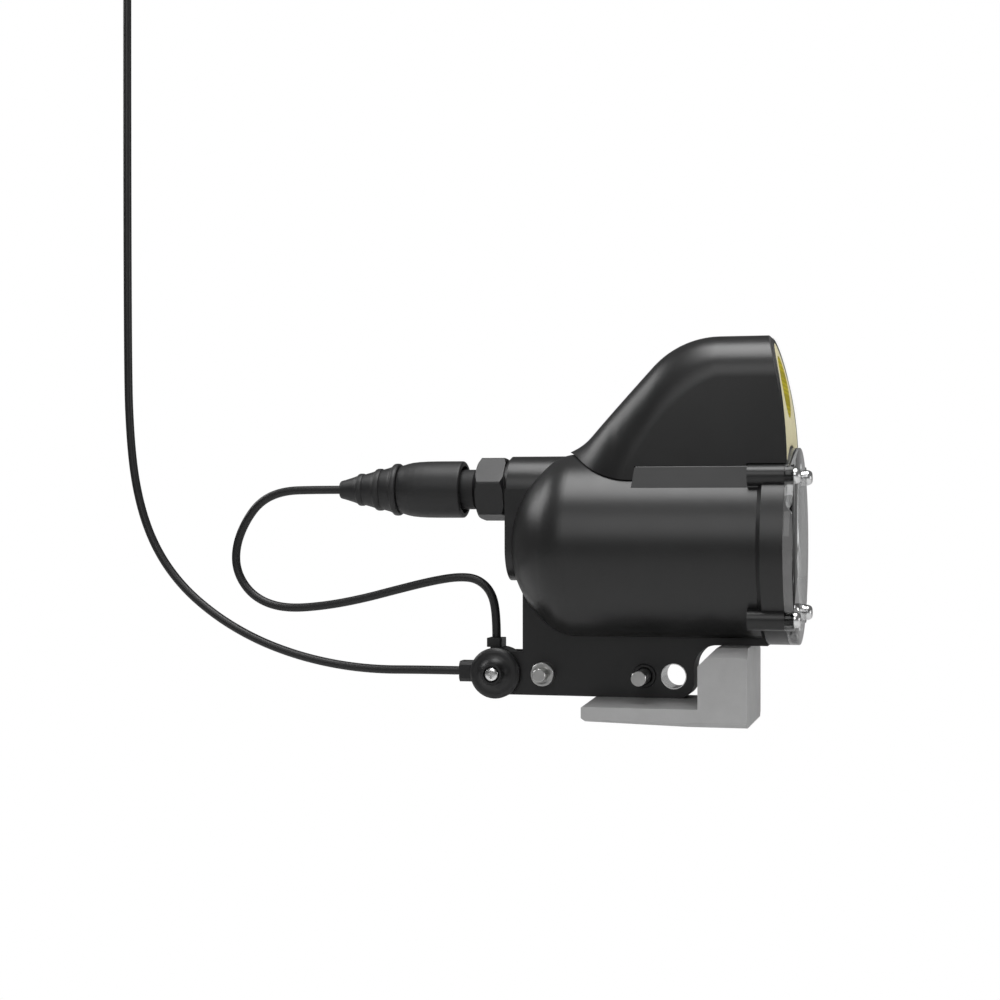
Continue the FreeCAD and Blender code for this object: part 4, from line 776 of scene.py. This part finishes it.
    def build(self) -> None:
        """Builds the shell, fits it to the housing, hollows it and puts it in the place of the plain one."""
        shell = self._body()
        self._carve(shell, self._front_curve(), "INTERSECT")
        self._carve(shell, self._rod("tube_room", self.tube, self.cut_rear))
        self._carve(shell, self._rod("flange_room", self.flange, self.flange_rear))
        low = Vector((self.saddle_rear, -self.cut_side, 0.0))
        high = Vector((self.cut_front, self.cut_side, self.saddle))
        self._carve(shell, self._block("saddle_room", low, high))
        for side in (-1.0, 1.0):
            y = side * self.lug_spacing
            self._carve(shell, self._rod("lug_room", self.lug, self.lug_rear, y, self.lug_spacing))
        self._carve(shell, self._lamp_room())
        rear, front, side, top = self.driver_room
        low, high = Vector((rear, -side, self.floor)), Vector((front, side, top))
        self._carve(shell, self._block("driver_room", low, high))
        bpy.ops.object.shade_smooth_by_angle(angle=math.radians(self.smooth_degrees))
        shell.data.materials.clear()
        self.wardrobe.dress(shell, Finish.HOOD)
        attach(shell, Body.CAMERA.value)
        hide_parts("lamp_hood")
        LOG.info("hood shell has %d faces", len(shell.data.polygons))


@dataclass
class Pane:
    """The window's clear pane: the solid's own form, welded, with eased and polished edges."""

    wardrobe: Wardrobe
    node: str = "window_plate"
    edge: float = 0.6 * MM
    weld: float = 0.02 * MM
    flat_degrees: float = 0.5
    edge_degrees: float = 50.0
    smooth_degrees: float = 40.0

    def build(self) -> None:
        """Copies the solid's mesh, welds it, eases its edges and dresses it."""
        pane = bpy.data.objects.new("window_pane", bpy.data.objects[self.node].data.copy())
        bpy.context.scene.collection.objects.link(pane)
        bpy.ops.object.select_all(action="DESELECT")
        bpy.context.view_layer.objects.active = pane
        pane.select_set(True)
        bpy.ops.mesh.customdata_custom_splitnormals_clear()
        bpy.ops.object.mode_set(mode="EDIT")
        bpy.ops.mesh.select_all(action="SELECT")
        bpy.ops.mesh.remove_doubles(threshold=self.weld)
        bpy.ops.mesh.dissolve_limited(angle_limit=math.radians(self.flat_degrees))
        bpy.ops.object.mode_set(mode="OBJECT")
        easing = pane.modifiers.new("easing", "BEVEL")
        easing.width = self.edge
        easing.segments = 2
        easing.limit_method = "ANGLE"
        easing.angle_limit = math.radians(self.edge_degrees)
        bpy.ops.object.modifier_apply(modifier=easing.name)
        bpy.ops.object.shade_smooth_by_angle(angle=math.radians(self.smooth_degrees))
        pane.data.materials.clear()
        self.wardrobe.dress(pane, Finish.WINDOW)
        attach(pane, Body.CAMERA.value)
        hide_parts(self.node)


@dataclass
class Photographer:
    """The camera at the photograph's own place and angle."""

    focal_pixels: float = 1927.1
    frame_pixels: float = 1000.0
    horizon_row: float = 508.42
    sensor_mm: float = 36.0
    stand_x: float = 95.0
    stand_y: float = -1079.2
    stand_z: float = 21.06
    azimuth_degrees: float = 13.63

    def build(self) -> None:
        """Adds the camera and makes it the scene's own."""
        data = bpy.data.cameras.new("photo_camera")
        data.sensor_width = self.sensor_mm
        data.lens = self.focal_pixels / self.frame_pixels * self.sensor_mm
        data.shift_y = (self.horizon_row - self.frame_pixels / 2) / self.frame_pixels
        data.clip_start = 0.01
        data.clip_end = 50.0
        camera = bpy.data.objects.new("photo_camera", data)
        bpy.context.scene.collection.objects.link(camera)
        azimuth = math.radians(self.azimuth_degrees)
        look = Vector((-math.sin(azimuth), math.cos(azimuth), 0.0))
        camera.location = place(self.stand_x, self.stand_y, self.stand_z)
        camera.rotation_euler = look.to_track_quat("-Z", "Y").to_euler()
        bpy.context.scene.camera = camera


@dataclass
class Studio:
    """A plain pale floor, a pale surround and soft lamps.

    Each lamp has its place from the housing's middle in metres, its side in metres and its power in watts.
    """

    floor_depth: float = -0.62
    floor_side: float = 9.0
    floor_grey: float = 0.65
    floor_roughness: float = 0.9
    surround: float = 0.1
    lamps: dict[str, tuple[tuple[float, float, float], float, float]] = field(
        default_factory=lambda: {
            "top_softbox": ((0.0, -0.22, 1.4), 1.0, 22.0),
            "front_softbox": ((1.6, -0.15, 0.1), 0.7, 6.5),
            "near_softbox": ((-0.2, -1.6, 0.8), 0.9, 5.5),
            "rear_softbox": ((-1.4, 0.2, 0.9), 0.8, 8.0),
            "far_softbox": ((0.25, 1.6, 0.1), 0.8, 0.45),
        }
    )

    @staticmethod
    def _white_to_eye(
        tree: bpy.types.NodeTree, dim: bpy.types.NodeSocket, kind: str
    ) -> bpy.types.NodeSocket:
        """Mixes a lit surface with plain white where the eye or clear glass sees it.

        Args:
            tree: the material's or world's node tree.
            dim: the shader that lights the object.
            kind: the node type that shows plain white.

        Returns:
            The mixed shader's socket.
        """
        path = tree.nodes.new("ShaderNodeLightPath")
        seen = tree.nodes.new("ShaderNodeMath")
        seen.operation = "MAXIMUM"
        tree.links.new(path.outputs["Is Camera Ray"], seen.inputs[0])
        tree.links.new(path.outputs["Is Transmission Ray"], seen.inputs[1])
        white = tree.nodes.new(kind)
        white.inputs["Color"].default_value = (1.0, 1.0, 1.0, 1.0)
        mix = tree.nodes.new("ShaderNodeMixShader")
        tree.links.new(seen.outputs[0], mix.inputs[0])
        tree.links.new(dim, mix.inputs[1])
        tree.links.new(white.outputs[0], mix.inputs[2])
        return mix.outputs[0]

    def _world(self) -> None:
        """Sets a surround that is white to the eye and softly shaded to the object."""
        world = bpy.data.worlds.new("pale_surround")
        bpy.context.scene.world = world
        world.use_nodes = True
        tree = world.node_tree
        dim = tree.nodes["Background"]
        dim.inputs["Color"].default_value = (1.0, 1.0, 1.0, 1.0)
        dim.inputs["Strength"].default_value = self.surround
        mixed = self._white_to_eye(tree, dim.outputs[0], "ShaderNodeBackground")
        tree.links.new(mixed, tree.nodes["World Output"].inputs["Surface"])

    def _floor(self) -> None:
        """Lays the floor under the hanging object."""
        bpy.ops.mesh.primitive_plane_add(size=self.floor_side, location=(0.2, 0.6, self.floor_depth))
        floor = bpy.context.object
        floor.name = "pale_floor"
        material = bpy.data.materials.new("pale_floor")
        material.use_nodes = True
        tree = material.node_tree
        shader = tree.nodes["Principled BSDF"]
        grey = self.floor_grey
        shader.inputs["Base Color"].default_value = (grey, grey, grey, 1.0)
        shader.inputs["Roughness"].default_value = self.floor_roughness
        mixed = self._white_to_eye(tree, shader.outputs[0], "ShaderNodeEmission")
        tree.links.new(mixed, tree.nodes["Material Output"].inputs["Surface"])
        floor.data.materials.append(material)

    def _lamp(self, name: str, at: tuple[float, float, float], size: float, power: float) -> None:
        """Hangs one soft square lamp that faces the housing."""
        data = bpy.data.lights.new(name, "AREA")
        data.size = size
        data.energy = power
        lamp = bpy.data.objects.new(name, data)
        bpy.context.scene.collection.objects.link(lamp)
        housing = place(-80.0, 0.0, 0.0)
        lamp.location = housing + Vector(at)
        lamp.rotation_euler = (housing - lamp.location).to_track_quat("-Z", "Y").to_euler()

    def build(self) -> None:
        """Builds floor, surround and lamps."""
        self._world()
        self._floor()
        for name, (at, size, power) in self.lamps.items():
            self._lamp(name, at, size, power)


@dataclass
class Cables:
    """The main cable and the lead, each a smooth line through its route's points."""

    wardrobe: Wardrobe
    radius: float = 2.5 * MM
    main_route: Route = field(
        default_factory=lambda: [
            (-189.4, -72.75),
            (-215.0, -72.75),
            (-241.0, -73.2),
            (-267.0, -70.7),
            (-293.0, -65.0),
            (-318.0, -56.0),
            (-342.0, -42.8),
            (-363.5, -25.5),
            (-380.0, -3.5),
            (-390.5, 23.0),
            (-396.3, 56.0),
            (-398.6, 112.0),
            (-398.6, 336.0),
        ]
    )
    lead_route: Route = field(
        default_factory=lambda: [
            (-262.7, 32.0),
            (-280.8, 32.0),
            (-299.0, 31.4),
            (-313.0, 25.5),
            (-322.5, 13.5),
            (-328.5, -1.0),
            (-328.6, -15.0),
            (-321.5, -27.5),
            (-310.0, -35.2),
            (-294.5, -38.2),
            (-272.0, -36.2),
            (-250.0, -32.0),
            (-228.0, -26.2),
            (-207.0, -21.0),
            (-191.0, -18.4),
            (-179.6, -19.6),
            (-171.4, -27.4),
            (-168.7, -40.6),
            (-168.7, -53.3),
        ]
    )

    def _line(self, name: str, route: Route) -> bpy.types.Object:
        """Makes a smooth open line with the route's points as its control points.

        Args:
            name: the line's name.
            route: its points in the middle plane, in millimetres about the window seat.

        Returns:
            The curve, with no thickness yet.
        """
        data = bpy.data.curves.new(name, "CURVE")
        data.dimensions = "3D"
        data.resolution_u = 10
        data.use_fill_caps = True
        spline = data.splines.new("NURBS")
        spline.points.add(len(route) - 1)
        for point, (x, z) in zip(spline.points, route):
            point.co = (*place(x, 0.0, z), 1.0)
        spline.order_u = 3
        spline.use_endpoint_u = True
        line = bpy.data.objects.new(name, data)
        bpy.context.scene.collection.objects.link(line)
        return line

    @staticmethod
    def _length(points: list[Vector]) -> float:
        """Adds up the runs between points."""
        return sum((b - a).length for a, b in zip(points, points[1:]))

    @staticmethod
    def _samples(line: bpy.types.Object) -> list[Vector]:
        """Reads the points along a smooth line with no thickness."""
        bare = bpy.data.meshes.new_from_object(line)
        points = [vertex.co.copy() for vertex in bare.vertices]
        bpy.data.meshes.remove(bare)
        return points

    def build_main(self) -> None:
        """Builds the main cable up to the suspension eye."""
        cable = self._line("main_cable_jacket", self.main_route)
        length = self._length(self._samples(cable))
        cable.data.bevel_depth = self.radius
        cable.data.bevel_resolution = 5
        self.wardrobe.dress(cable, Finish.CABLE)
        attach(cable, Body.CABLE.value)
        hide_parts("main_cable")
        LOG.info("main cable %.3f m", length)

    def build_lead(self) -> None:
        """Builds the lead, which bends round by the clamp, as one fixed mesh."""
        line = self._line("lead_line", self.lead_route)
        path = self._samples(line)
        line.data.bevel_depth = self.radius
        line.data.bevel_resolution = 5
        mesh = bpy.data.meshes.new_from_object(line)
        lead = bpy.data.objects.new("lead_cable_jacket", mesh)
        bpy.context.scene.collection.objects.link(lead)
        bpy.data.objects.remove(line)
        mesh.polygons.foreach_set("use_smooth", [True] * len(mesh.polygons))
        self.wardrobe.dress(lead, Finish.CABLE)
        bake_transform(lead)
        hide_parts("lead_cable")
        LOG.info("lead %.3f m", self._length(path))


def main() -> None:
    """Builds the scene in order and notes how many pieces were carried."""
    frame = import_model()
    LOG.info("%d carried pieces", len(frame["nodes"]))
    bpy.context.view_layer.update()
    bpy.context.scene.view_settings.view_transform = "Standard"
    Photographer().build()
    wardrobe = Wardrobe()
    cables = Cables(wardrobe)
    cables.build_main()
    cables.build_lead()
    wardrobe.dress_carried_pieces()
    Hood(wardrobe).build()
    Pane(wardrobe).build()
    Studio().build()


if __name__ == "__main__":
    main()
